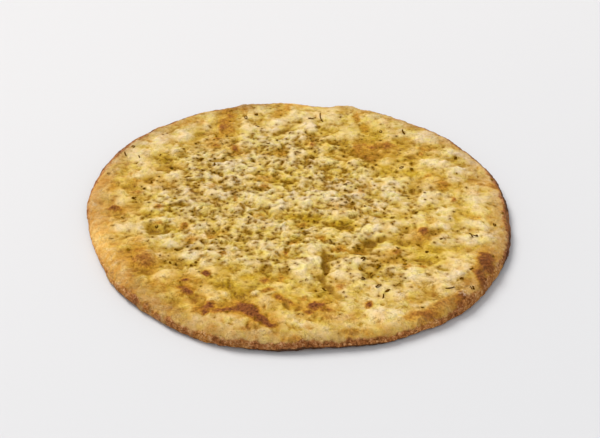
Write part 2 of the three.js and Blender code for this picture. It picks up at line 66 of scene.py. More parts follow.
# what the baked top shows: kind, x, y, half length, half width, turn, strength, height
# P pale raised crust, O oily hollow, B browned blister, K crease or pit, M ashy patch
MARKS = [
    ("B", -84.5, 112.5, 6, 8, 0, 0.4, 0.3),
    ("B", -53.5, 108.5, 7, 17, 8, 0.6, 1),
    ("B", -51.5, 124.5, 4, 5, 0, 0.6, 0.3),
    ("B", -57.5, 104.5, 3, 9, 5, 0.6, 0.2),
    ("O", -52.5, 97.5, 6, 6, 0, 0.6, -0.8),
    ("B", -61.5, 86.5, 7, 8, 0, 0.45, 0.6),
    ("B", -60.5, 90.5, 2.5, 2, 0, 0.5, 0),
    ("B", -60.5, 80.5, 3, 2, 0, 0.6, 0),
    ("B", -46.5, 75.5, 4, 6, 20, 0.8, 0.8),
    ("B", -55.5, 133.5, 6, 4, 0, 0.5, 0.3),
    ("K", -84.5, 66.5, 5, 6, 0, 0.45, -1.6),
    ("K", -87.5, 69.5, 2.5, 4, 40, 0.5, -0.6),
    ("O", -95.5, 60.5, 9, 9, 0, 0.5, -1),
    ("O", -101.5, 72.5, 3.5, 9, 0, 0.5, -0.7),
    ("O", -98.5, 50.5, 12, 4, 0, 0.5, -0.6),
    ("P", -101.5, 90.5, 6, 13, 0, 0.7, 0.9),
    ("P", -68.5, 106.5, 5, 8, 0, 0.7, 1),
    ("P", -86.5, 93.5, 8, 8, 0, 0.45, 1.1),
    ("P", -118.5, 60.5, 10, 8, 0, 0.6, 0.7),
    ("P", -53.5, 50.5, 9, 5, 0, 0.6, 1),
    ("K", -56.5, 57.5, 6, 3, 0, 0.55, -1.3),
    ("B", -40.5, 133.5, 5, 7, 0, 0.5, 0.5),
    ("B", -6.5, 138.5, 4, 5, 0, 0.5, 0.4),
    ("B", -6.5, 132.5, 3, 3, 0, 0.4, 0),
    ("B", -12.5, 128.5, 6, 8, 0, 0.4, -0.3),
    ("P", -28.5, 134.5, 8, 7, 0, 0.6, 0.6),
    ("P", 1.5, 126.5, 6, 8, 0, 0.5, 0.6),
    ("P", -15.5, 113.5, 4, 6, 0, 0.6, 0.8),
    ("K", -11.5, 100.5, 8, 3.5, 35, 0.6, -1.5),
    ("P", 11.5, 105.5, 4, 5, 0, 0.8, 1),
    ("P", -3.5, 75.5, 5, 9, 0, 0.7, 1),
    ("P", -38.5, 85.5, 6, 7, 0, 0.6, 0.8),
    ("P", -33.5, 65.5, 4, 5, 0, 0.7, 0.9),
    ("B", 11.5, 81.5, 3.5, 5, 0, 0.75, 0.9),
    ("O", 9.5, 72.5, 3, 6, -15, 0.55, -0.6),
    ("O", 24.5, 99.5, 8, 6, 0, 0.55, -1),
    ("O", 21.5, 84.5, 7, 6, 0, 0.45, -0.6),
    ("O", 34.5, 78.5, 4, 9, 0, 0.45, -0.7),
    ("O", 14.5, 90.5, 3, 5, 0, 0.4, -0.5),
    ("B", 45.5, 77.5, 5, 8, 0, 0.65, 0.4),
    ("B", 51.5, 81.5, 3, 3, 0, 0.6, 0.4),
    ("B", 56.5, 76.5, 4.5, 4, -30, 0.75, 0.6),
    ("B", 48.5, 66.5, 6, 6, 0, 0.5, -0.4),
    ("B", 54.5, 63.5, 5, 8, 0, 0.6, -0.6),
    ("B", 45.5, 118.5, 3, 9, 0, 0.5, -0.4),
    ("B", 48.5, 126.5, 8, 8, 0, 0.35, 0.5),
    ("B", 51.5, 104.5, 4, 8, 0, 0.4, -0.6),
    ("B", -12.5, 71.5, 8, 8, 0, 0.4, -0.5),
    ("B", -23.5, 66.5, 5, 5, 0, 0.3, 0),
    ("O", 32.5, 56.5, 5, 6, 0, 0.5, -0.8),
    ("O", -4.5, 49.5, 3, 2.5, 0, 0.6, -0.4),
    ("P", -38.5, 46.5, 10, 6, 0, 0.7, 0.9),
    ("K", 21.5, 49.5, 6, 2.5, 20, 0.45, -1),
    ("P", 58.5, 113.5, 5, 3.5, 0, 0.6, 0.8),
    ("B", 66.5, 78.5, 9, 7, 0, 0.8, 0.9),
    ("B", 67.5, 81.5, 4, 3, 0, 0.35, 0),
    ("B", 93.5, 75.5, 5, 3, 0, 0.65, 0.5),
    ("B", 92.5, 68.5, 2.2, 3, 0, 0.6, 0.3),
    ("O", 59.5, 87.5, 6, 3, 0, 0.5, -0.4),
    ("O", 69.5, 66.5, 9, 6, 0, 0.6, -1.2),
    ("O", 85.5, 60.5, 5, 8, 10, 0.5, -1),
    ("O", 104.5, 68.5, 8, 8, 0, 0.3, -0.5),
    ("O", 101.5, 77.5, 8, 3, 0, 0.5, -0.6),
    ("O", 117.5, 59.5, 7, 8, 0, 0.4, -1),
    ("K", 118.5, 51.5, 6, 1.6, 5, 0.45, -0.7),
    ("P", 75.5, 97.5, 10, 6, 0, 0.6, 0.9),
    ("P", 93.5, 88.5, 5, 8, -20, 0.6, 0.7),
    ("P", 66.5, 114.5, 4, 5, 0, 0.5, 0.6),
    ("O", 54.5, 52.5, 8, 7, 0, 0.5, -0.8),
    ("B", 84.5, 109.5, 7, 5, -35, 0.35, 0.2),
    ("B", 69.5, 121.5, 4, 3, -30, 0.45, 0.2),
    ("P", 98.5, 54.5, 10, 6, 0, 0.6, 0.9),
    ("O", -124.5, 27.5, 10, 8, 0, 0.7, -1.4),
    ("B", -116.5, 33.5, 3.5, 3, 0, 0.5, 0),
    ("O", -108.5, 33.5, 5, 6, 0, 0.5, -0.8),
    ("B", -126.5, 37.5, 3, 2, -30, 0.45, 0.2),
    ("B", -114.5, 17.5, 7, 2.6, 10, 0.5, 0.4),
    ("B", -128.5, -4.5, 6.5, 4, 0, 0.85, 0.9),
    ("B", -97.5, -2.5, 3.6, 4.5, -40, 0.75, 0.5),
    ("O", -91, -2.5, 4, 4, 0, 0.7, -0.9),
    ("K", -85.5, 1.5, 3, 1.8, 0, 0.6, -0.7),
    ("O", -99.5, -11.5, 8, 5, 0, 0.5, -0.8),
    ("O", -102.5, -24.5, 5, 6, -30, 0.6, -1.1),
    ("O", -95.5, -31.5, 8, 4, -15, 0.6, -1.2),
    ("O", -88.5, -27.5, 5, 5, 0, 0.55, -1),
    ("B", -95.5, -22.5, 4.5, 3, -15, 0.5, 0.3),
    ("P", -96.5, -18.5, 11, 2.2, 8, 0.6, 0.9),
    ("B", -77.5, -24.5, 4, 4.5, 0, 0.8, 0.5),
    ("P", -65.5, -25.5, 5, 4, 0, 0.75, 1),
    ("P", -90.5, -35.5, 5, 3, 0, 0.65, 0.8),
    ("P", -86.5, -45.5, 6, 5, 0, 0.65, 0.8),
    ("P", -118.5, -27.5, 10, 6, 0, 0.45, 0.9),
    ("P", -106.5, -30.5, 6, 2.5, -45, 0.6, 0.8),
    ("P", -82.5, 20.5, 6, 5, 0, 0.6, 1),
    ("P", -73.5, 38.5, 5, 4, 0, 0.55, 0.9),
    ("P", -102.5, 42.5, 7, 2.5, 0, 0.6, 0.8),
    ("P", -89.5, 40.5, 6, 4, 0, 0.6, 0.8),
    ("B", -60.5, 24.5, 3, 4, 0, 0.5, 0.4),
    ("K", -56.5, 43.5, 4, 4, -40, 0.55, -1.4),
    ("O", -72.5, 27.5, 10, 6, 0, 0.4, -0.8),
    ("O", -62.5, -3.5, 7, 5, 0, 0.4, -0.8),
    ("O", -58.5, -17.5, 4, 4, -40, 0.45, -0.7),
    ("B", -58.5, -37.5, 4.5, 4, 0, 0.6, -0.3),
    ("B", -71.5, -40.5, 4.2, 4, 0, 0.55, -0.3),
    ("P", -71.5, -40, 1.8, 1.6, 0, 0.4, 0.7),
    ("B", -51.5, -32.5, 4, 3.5, 0, 0.45, 0.2),
    ("B", -108.5, -41.5, 7, 5, 0, 0.4, 0.6),
    ("B", -106.5, -52.5, 5, 4, 0, 0.5, 0.3),
    ("O", -115.5, -55.5, 6, 5, 0, 0.55, -0.6),
    ("O", -45.5, -19.5, 4, 9, 0, 0.45, -0.7),
    ("O", -96.5, 46.5, 10, 4, 0, 0.4, -0.5),
    ("B", -43.5, 9.5, 2.6, 5, 0, 0.6, -0.3),
    ("B", -23.5, 35.5, 11, 6, 0, 0.45, 0.5),
    ("B", -22.5, 24.5, 4, 4, 0, 0.6, -0.4),
    ("O", -3.5, 25.5, 7, 8, 0, 0.5, -0.9),
    ("K", 6.5, 27.5, 5, 4, -30, 0.5, -1.3),
    ("B", 23.5, 37.5, 4, 3, 0, 0.5, -0.3),
    ("B", 21.5, 27.5, 4.5, 3, 0, 0.4, -0.4),
    ("B", 45.5, 18.5, 3, 5.5, 8, 0.6, 0.6),
    ("B", 29.5, -2.5, 4.5, 4, 0, 0.4, 0.3),
    ("B", -26.5, -11.5, 5, 4, 0, 0.5, 0.4),
    ("O", -3.5, -12.5, 10, 4.5, 0, 0.8, -1.3),
    ("O", 11.5, -13.5, 8, 6, 0, 0.8, -1.4),
    ("O", 30.5, -23.5, 9, 6, 0, 0.9, -1.7),
    ("B", 3.5, -22.5, 4, 3, 0, 0.6, 0.2),
    ("P", -10.5, -26.5, 5, 4, 0, 0.6, 0.9),
    ("P", 51.5, -27.5, 8, 4, 0, 0.95, 1.8),
    ("P", 10.5, 15.5, 5, 6, 0, 0.8, 1.1),
    ("P", 6.5, 4.5, 5, 4, 0, 0.6, 0.7),
    ("P", -33.5, 15.5, 5, 5, 0, 0.75, 1),
    ("P", -12.5, 0.5, 7, 4, 0, 0.6, 0.8),
    ("P", 46.5, -34.5, 6, 3, 0, 0.6, 0.9),
    ("P", -46.5, 30.5, 6, 5, 0, 0.65, 0.8),
    ("P", 2.5, -31.5, 5, 3, 0, 0.5, 0.6),
    ("K", 49.5, -44.5, 5.5, 4.5, 35, 1, -3.6),
    ("K", 42.5, -49.5, 4, 3, 0, 0.5, -1.5),
    ("B", -2.5, -45.5, 5.5, 3.6, 25, 0.65, -0.9),
    ("B", -7.5, -55.5, 2.4, 2.6, 0, 0.85, -0.6),
    ("B", 16.5, -38.5, 4, 4, 0, 0.55, -1),
    ("B", 29.5, -51.5, 5.5, 4, 0, 0.65, -1.2),
    ("B", 42.5, -54.5, 8, 4, 0, 0.45, -1.4),
    ("O", -36.5, -31.5, 6, 5, 0, 0.5, -0.8),
    ("O", -23.5, -30.5, 6, 4, 0, 0.4, -0.5),
    ("B", -49.5, -57.5, 4, 2.8, 0, 0.6, -0.5),
    ("P", -25.5, -45.5, 8, 5, 0, 0.6, 0.9),
    ("P", -45.5, -50.5, 4, 4, 0, 0.6, 0.8),
    ("P", 11.5, -52.5, 5, 4, 0, 0.6, 0.9),
    ("P", 56.5, -52.5, 8, 2.6, 8, 0.7, 1.1),
    ("P", 32.5, -34.5, 5, 3, 0, 0.6, 0.7),
    ("B", 87.5, -32.5, 4.6, 6, 0, 0.95, 1.4),
    ("K", 90.5, -37.5, 2.4, 3, 30, 0.45, -0.5),
    ("O", 96.5, -32.5, 6, 6, 0, 0.55, -1),
    ("O", 79.5, -44.5, 10, 6, 0, 0.55, -0.9),
    ("O", 93.5, -52.5, 7, 5, 0, 0.8, -1.3),
    ("O", 83.5, 41.5, 8, 6, 0, 0.65, -0.9),
    ("B", 94.5, 36.5, 6, 2.6, 35, 0.5, -0.3),
    ("B", 105.5, 26.5, 6, 5, 0, 0.7, 0.4),
    ("O", 105.5, 19.5, 4, 3, 0, 0.5, -0.6),
    ("O", 115.5, 25.5, 6, 5, 0, 0.6, -1),
    ("B", 132.5, 26.5, 3.6, 3, 0, 0.6, 0.5),
    ("B", 141.5, 25.5, 5, 4.5, 0, 0.8, 0.4),
    ("B", 111.5, 7.5, 2.6, 4.6, 0, 0.85, 0.9),
    ("O", 113.5, -12.5, 6, 7, 0, 0.5, -0.8),
    ("B", 123.5, -15.5, 6, 4, 0, 0.5, -0.5),
    ("O", 136.5, -11.5, 8, 6, 0, 0.3, -0.4),
    ("B", 145.5, -23.5, 2.6, 5, 0, 0.7, 0.2),
    ("B", 146.5, -41.5, 2.6, 7, 0, 0.6, 0.1),
    ("O", 85.5, 16.5, 5, 4, 0, 0.5, -0.9),
    ("O", 67.5, -14.5, 7, 5, 0, 0.45, -0.7),
    ("O", 74.5, -27.5, 5, 4, 0, 0.5, -1),
    ("O", 93.5, -6.5, 5, 6, 0, 0.45, -0.7),
    ("B", 93.5, -18.5, 6, 5, 0, 0.35, -0.6),
    ("P", 89.5, 7.5, 2.2, 9, -8, 0.8, 1.2),
    ("P", 67.5, 10.5, 8, 6, 0, 0.6, 0.9),
    ("P", 85.5, -16.5, 4, 6, 0, 0.7, 1.1),
    ("P", 96.5, 14.5, 6, 6, 0, 0.5, 0.7),
    ("P", 104.5, -16.5, 5, 3, 0, 0.65, 0.9),
    ("P", 127.5, 8.5, 10, 7, 0, 0.55, 0.7),
    ("P", 116.5, -42.5, 12, 6, 0, 0.55, 0.8),
    ("P", 129.5, -25.5, 8, 5, 0, 0.45, 0.6),
    ("P", 66.5, -30.5, 4, 4, 0, 0.6, 1),
    ("P", 74.5, 27.5, 6, 5, 0, 0.45, 0.8),
    ("P", 58.5, 3.5, 4, 5, 0, 0.7, 0.9),
    ("P", 120.5, 44.5, 8, 5, 0, 0.6, 0.9),
    ("B", 67.5, -56.5, 4.2, 4.6, 0, 0.8, 0.9),
    ("B", -101.5, -64.5, 9.5, 9, -25, 0.4, 2.2),
    ("B", -106.5, -65.5, 3, 4, 0, 0.18, 0),
    ("B", -99.5, -70.5, 4, 3, 0, 0.22, 0),
    ("O", -102.5, -80.5, 7, 3, 0, 0.5, -1),
    ("P", -115.5, -71.5, 5, 7, 0, 0.6, 1),
    ("P", -88.5, -80.5, 7, 4, 15, 0.65, 0.8),
    ("B", -59.5, -79.5, 3.4, 3.2, -40, 0.95, -0.5),
    ("B", -72.5, -87.5, 6, 2.6, 0, 0.65, 0.4),
    ("B", -76.5, -94.5, 2.6, 3, -45, 0.65, -0.4),
    ("B", -70.5, -99.5, 3, 5, 25, 0.6, 0.3),
    ("B", -56.5, -113.5, 5.5, 3.6, 15, 0.75, 0.7),
    ("B", -58.5, -120.5, 2.6, 3.5, 0, 0.55, 0),
    ("B", -50.5, -120.5, 6, 2.6, 0, 0.5, 0.4),
    ("O", -78.5, -113.5, 9, 6, 0, 0.5, -0.8),
    ("O", -64.5, -89.5, 4, 3.5, 0, 0.5, -0.7),
    ("P", -58.5, -97.5, 6, 5, 0, 0.6, 0.9),
    ("B", -98.5, -109.5, 4.5, 4, 0, 0.7, 0.2),
    ("B", -108.5, -94.5, 3, 6, 35, 0.6, -0.2),
    ("P", -88.5, -118.5, 2.4, 1.6, 0, 0.6, 0.5),
    ("P", -84.5, -117.5, 1.6, 1.4, 0, 0.7, 0.5),
    ("B", -83.5, -122.5, 5, 3, -35, 0.6, 0),
    ("O", -44.5, -91.5, 7, 5, 0, 0.75, -1.2),
    ("B", -32.5, -115.5, 5, 4.5, -40, 0.85, 0.5),
    ("B", -28.5, -120.5, 6, 4, -50, 1, 0.4),
    ("B", -22.5, -126.5, 5, 3.5, -45, 0.8, 0.3),
    ("B", -16.5, -132.5, 4.5, 3.5, -35, 0.75, 0.3),
    ("P", -27.5, -100, 3.4, 2.8, 15, 1, 2.2),
    ("P", -46.5, -102.5, 1.6, 1.6, 0, 0.9, 1.2),
    ("O", -33.5, -103.5, 8, 7, 0, 0.7, -1),
    ("O", -33.5, -84.5, 7, 4, 0, 0.5, -0.6),
    ("B", -18.5, -97.5, 6, 3, 20, 0.6, -0.5),
    ("B", -11.5, -105.5, 4, 5, 30, 0.65, -0.5),
    ("K", -6.5, -112.5, 2.6, 6, 25, 0.75, -1.2),
    ("P", 1.5, -75.5, 6, 7, -25, 0.65, 1.8),
    ("P", 5.5, -84.5, 6, 5, 0, 0.65, 1.1),
    ("P", 11.5, -64.5, 6, 5, 0, 0.65, 1.2),
    ("K", 19.5, -62.5, 3.2, 7, -5, 0.75, -2.2),
    ("K", 19, -73.5, 3, 7, -3, 0.9, -2.8),
    ("K", 16.5, -84.5, 3, 5, 5, 0.5, -1.6),
    ("K", 21.5, -94.5, 2.8, 6, 35, 0.35, -1.4),
    ("K", 28.5, -105.5, 2.6, 7, 38, 0.3, -1.1),
    ("P", 34.5, -67.5, 9, 6, 0, 0.55, 1.2),
    ("P", 28.5, -77.5, 5, 7, 0, 0.45, 1),
    ("B", 28.5, -93.5, 3.2, 5.5, -25, 0.55, 0.3),
    ("B", 4.5, -106.5, 3.5, 3, 0, 0.45, 0.4),
    ("B", 11.5, -113.5, 6, 4, 25, 0.65, 0.5),
    ("B", 7.5, -120.5, 4, 2.6, 0, 0.6, 0.2),
    ("B", 19.5, -119.5, 4, 4, 0, 0.35, 0),
    ("P", 56.5, -123.5, 12, 8, -10, 0.8, 1.2),
    ("P", 28.5, -124.5, 7, 4, 10, 0.65, 0.8),
    ("B", 45.5, -113.5, 3.6, 3.6, 0, 0.5, 0.3),
    ("O", 40.5, -97.5, 8, 9, 0, 0.4, -0.4),
    ("B", 34.5, -138.5, 8, 4, 0, 0.45, 0),
    ("B", 45.5, -137.5, 4, 3, 0, 0.35, 0),
    ("B", -1.5, -144.5, 9, 3, 0, 0.45, 0),
    ("B", -43.5, -119.5, 6, 2.6, 0, 0.4, 0.2),
    ("O", -31.5, -133.5, 9, 5, 0, 0.45, -0.5),
    ("P", -21.5, -139.5, 7, 2.6, 0, 0.6, 0.5),
    ("P", 2.5, -131.5, 8, 3, 0, 0.5, 0.5),
    ("B", -20.5, -86.5, 4.2, 4, 0, 0.5, 0.3),
    ("B", -10.5, -84.5, 3, 6, 0, 0.4, -0.3),
    ("K", -20.5, -73.5, 5, 4, 0, 0.35, -1),
    ("O", -6.5, -62.5, 5, 4, 0, 0.45, -0.8),
    ("O", -40.5, -71.5, 7, 6, 0, 0.5, -0.9),
    ("P", -35.5, -63.5, 9, 3, 30, 0.6, 1),
    ("P", -32.5, -75.5, 5, 3.6, 0, 0.5, 0.7),
    ("P", 36.5, -82.5, 9, 4, 0, 0.4, 0.7),
    ("B", 127.5, -64.5, 6.5, 6, 0, 0.8, 0.7),
    ("B", 127.5, -72.5, 6, 6, 20, 1, 0.8),
    ("B", 121.5, -81.5, 5, 5, 20, 0.9, 0.4),
    ("B", 125.5, -87.5, 5, 4, 40, 0.7, 0),
    ("B", 125.5, -57.5, 6, 3, 0, 0.6, 0.4),
    ("B", 134.5, -59.5, 4, 5, 0, 0.4, 0),
    ("B", 108.5, -101.5, 5.5, 4, -20, 0.75, 0.9),
    ("B", 107.5, -107.5, 5, 4, 30, 0.75, 0.2),
    ("M", 108.5, -99.5, 3.6, 2.6, -30, 0.8, 0.3),
    ("B", 84.5, -120.5, 11, 4.5, 0, 0.65, 0.6),
    ("B", 96.5, -124.5, 6, 4, 30, 0.7, 0),
    ("B", 76.5, -131.5, 5, 4, 0, 0.6, 0.3),
    ("B", 85.5, -129.5, 6, 3, 25, 0.7, 0),
    ("B", 73.5, -71.5, 4, 3, 0, 0.45, 0.3),
    ("B", 83.5, -71.5, 4.5, 3, 0, 0.55, -0.3),
    ("O", 89.5, -64.5, 9, 5, 0, 0.6, -1),
    ("K", 97.5, -75.5, 4, 1.8, -15, 0.5, -0.8),
    ("B", 76.5, -92.5, 5, 5, 0, 0.35, 0.3),
    ("B", 69.5, -106.5, 5, 4, 0, 0.3, 0.2),
    ("P", 76.5, -81.5, 8, 6, 0, 0.65, 0.9),
    ("P", 106.5, -73.5, 6, 10, -10, 0.65, 0.9),
    ("P", 90.5, -85.5, 6, 5, 0, 0.4, 0.6),
    ("P", 116.5, -62.5, 5, 5, 0, 0.5, 0.6),
    ("P", 89.5, -111.5, 12, 4.5, 5, 0.6, 1.2),
    ("O", 114.5, -82.5, 5, 6, 0, 0.35, -0.4),
    ("O", 64.5, -65.5, 7, 4, 0, 0.5, -0.7),
    ("P", 54.5, -60.5, 6, 3, 0, 0.45, 0.6),
    ("K", 57.5, -40.5, 4, 2.6, 30, 0.45, -1.4),
    ("P", 61.5, -46.5, 4, 3, 0, 0.65, 1.4),
    ("K", -54.5, -62.5, 4, 2.6, 0, 0.35, -0.8),
    ("P", -70.5, -57.5, 8, 6, 0, 0.65, 1),
    ("P", -60.5, -69.5, 5, 4, 0, 0.6, 0.7),
    ("K", 71.5, -2.5, 2.2, 3, 0, 0.5, -0.7),
    ("K", 69.5, 3.5, 2.5, 2.5, 0, 0.5, -0.7),
    ("P", -18.5, 45.5, 6, 4, 0, 0.3, 0.4),
    ("P", 23.5, 8.5, 8, 4, -15, 0.45, 0.7),
    ("P", 36.5, 22.5, 8, 4, -30, 0.45, 0.7),
    ("P", 38.5, -9.5, 6, 5, 0, 0.45, 0.5),
    ("P", 16.5, -7.5, 4, 3, 0, 0.55, 0.7),
    ("P", -8.5, -43.5, 5, 4, 0, 0.45, 0.5),
    ("O", 64.5, 45.5, 8, 6, 0, 0.4, -0.5),
    ("O", 34.5, 45.5, 6, 5, 0, 0.3, -0.5),
    ("K", -33.5, -32.5, 3, 4, 30, 0.4, -0.8),
    ("K", -66.5, -103.5, 5, 3, -50, 0.35, -0.7),
    ("B", 125, -66, 5, 8, -35, 0.62, 0.3), ("B", 119, -77, 4, 4, 0, 0.55, 0), ("B", 129, -60, 4, 6, 20, 0.6, 0),
    ("B", 124, -88, 8, 2.6, 45, 0.6, 0), ("B", 98, -108, 9, 5, 40, 0.5, 0.3), ("B", 88, -114, 8, 4, 35, 0.45, 0.2),
    ("B", 106, -112, 6, 4, 45, 0.5, 0), ("B", 72, -124, 10, 4, 25, 0.45, 0.2), ("B", 82, -126, 8, 3, 30, 0.5, 0),
    ("B", 46, -113, 3, 4, 0, 0.65, 0), ("B", 14, -115, 7, 4, 0, 0.4, 0.3), ("B", 21, -119, 6, 3, 0, 0.4, 0.2),
    ("B", -46, -117, 9, 2.6, 10, 0.65, 0.2), ("B", -4, -110, 5, 3, -30, 0.5, 0), ("B", -71, -97, 6, 5, 0, 0.4, 0),
    ("B", -106, -62, 17, 13, -20, 0.30, 0), ("B", -27, -122, 17, 6.5, -42, 0.42, 0), ("B", -36, -115, 9, 6.5, -20, 0.45, 0.3),
    ("B", -62, -117, 9, 5, 5, 0.42, 0), ("B", 20, -110, 14, 6, 5, 0.26, 0), ("B", -96, -90, 9, 7, 0, 0.25, 0), ("B", 123, -82, 5, 3.5, 30, 0.45, 0), ("B", 131, -73, 4, 4, 0, 0.35, 0),
    ("B", -146, -8, 4, 9, 0, 0.5, 0), ("B", -134, 22, 5, 8, 0, 0.5, 0), ("B", -124, -76, 5, 7, 35, 0.55, 0),
]
# larger bits of herb: name, kind, x, y, length, width, turn
HERBS = [
    ("oregano_leaf_01", "L", 44.5, -64.5, 5.6, 2.8, 65),
    ("oregano_leaf_02", "L", 43.7, -86, 3.8, 2.4, -50),
    ("oregano_leaf_03", "L", 53.5, -94, 6, 2.2, 55),
    ("oregano_leaf_04", "L", 59, -98.5, 4, 2.6, 15),
    ("oregano_stem_01", "S", 56, -104.5, 4.2, 1, 80),
    ("oregano_leaf_05", "L", 19.7, -77, 4.2, 2, 62),
    ("oregano_leaf_06", "L", 18, -95.3, 3.6, 1.8, -42),
    ("oregano_leaf_07", "L", 88, -54.5, 3.2, 2, 60),
    ("oregano_leaf_08", "L", 115.9, -75.5, 3.2, 2, 48),
    ("oregano_leaf_09", "L", 114.7, -93, 3.4, 2.6, 100),
    ("oregano_stem_02", "S", 100, -95.1, 6, 1.1, 14),
    ("oregano_leaf_10", "L", 108.7, -84.8, 3.2, 1.5, 32),
    ("oregano_leaf_11", "L", 137.1, -23.1, 4.2, 2.2, 98),
    ("oregano_sprig_01", "Y", 119.8, -36, 8, 1.1, -62),
    ("oregano_leaf_12", "L", 98.7, -40.9, 3, 1.6, 30),
    ("oregano_leaf_13", "L", 84.3, -8, 3.4, 1.8, 60),
    ("oregano_leaf_14", "L", 48, -0.7, 2.6, 2, 90),
    ("oregano_leaf_15", "L", 91.4, 15.8, 2.6, 1.8, 95),
    ("oregano_leaf_16", "L", 76.9, 48.5, 4.2, 2.2, 42),
    ("oregano_leaf_17", "L", 117.9, 63.1, 3.8, 2.2, 84),
    ("oregano_stem_03", "S", 81.1, 97.9, 5.4, 1.5, -70),
    ("oregano_leaf_18", "L", 64, 100.5, 2.8, 2.2, 80),
    ("oregano_stem_04", "S", 18.5, 120, 13, 1, -82),
    ("oregano_leaf_19", "L", 10.8, 118.7, 5, 1.8, 16),
    ("oregano_leaf_20", "L", -39.7, 120.5, 4.6, 2.3, 92),
    ("oregano_leaf_21", "L", -31.5, 125, 4.2, 3, 70),
    ("oregano_leaf_22", "L", -30.5, 108.1, 3, 2, -10),
    ("oregano_leaf_23", "L", -22, 82.9, 3.4, 2.2, 0),
    ("oregano_leaf_24", "L", -70.7, 60.9, 3, 2.2, 20),
    ("oregano_leaf_25", "L", -60.7, 52.3, 3, 2.4, -40),
    ("oregano_stem_05", "S", -117.1, 63, 3.6, 1, -75),
    ("oregano_stem_06", "S", -128.1, 68.5, 5.2, 1.1, -72),
    ("oregano_leaf_26", "L", -105.5, 31.5, 3.8, 1.8, 82),
    ("oregano_leaf_27", "L", -116.5, 10.1, 2.6, 2.2, 0),
    ("oregano_leaf_28", "L", -84.3, -67.5, 2.8, 2, -50),
    ("oregano_leaf_29", "L", -79.7, 37.9, 3.6, 2.6, 0),
]
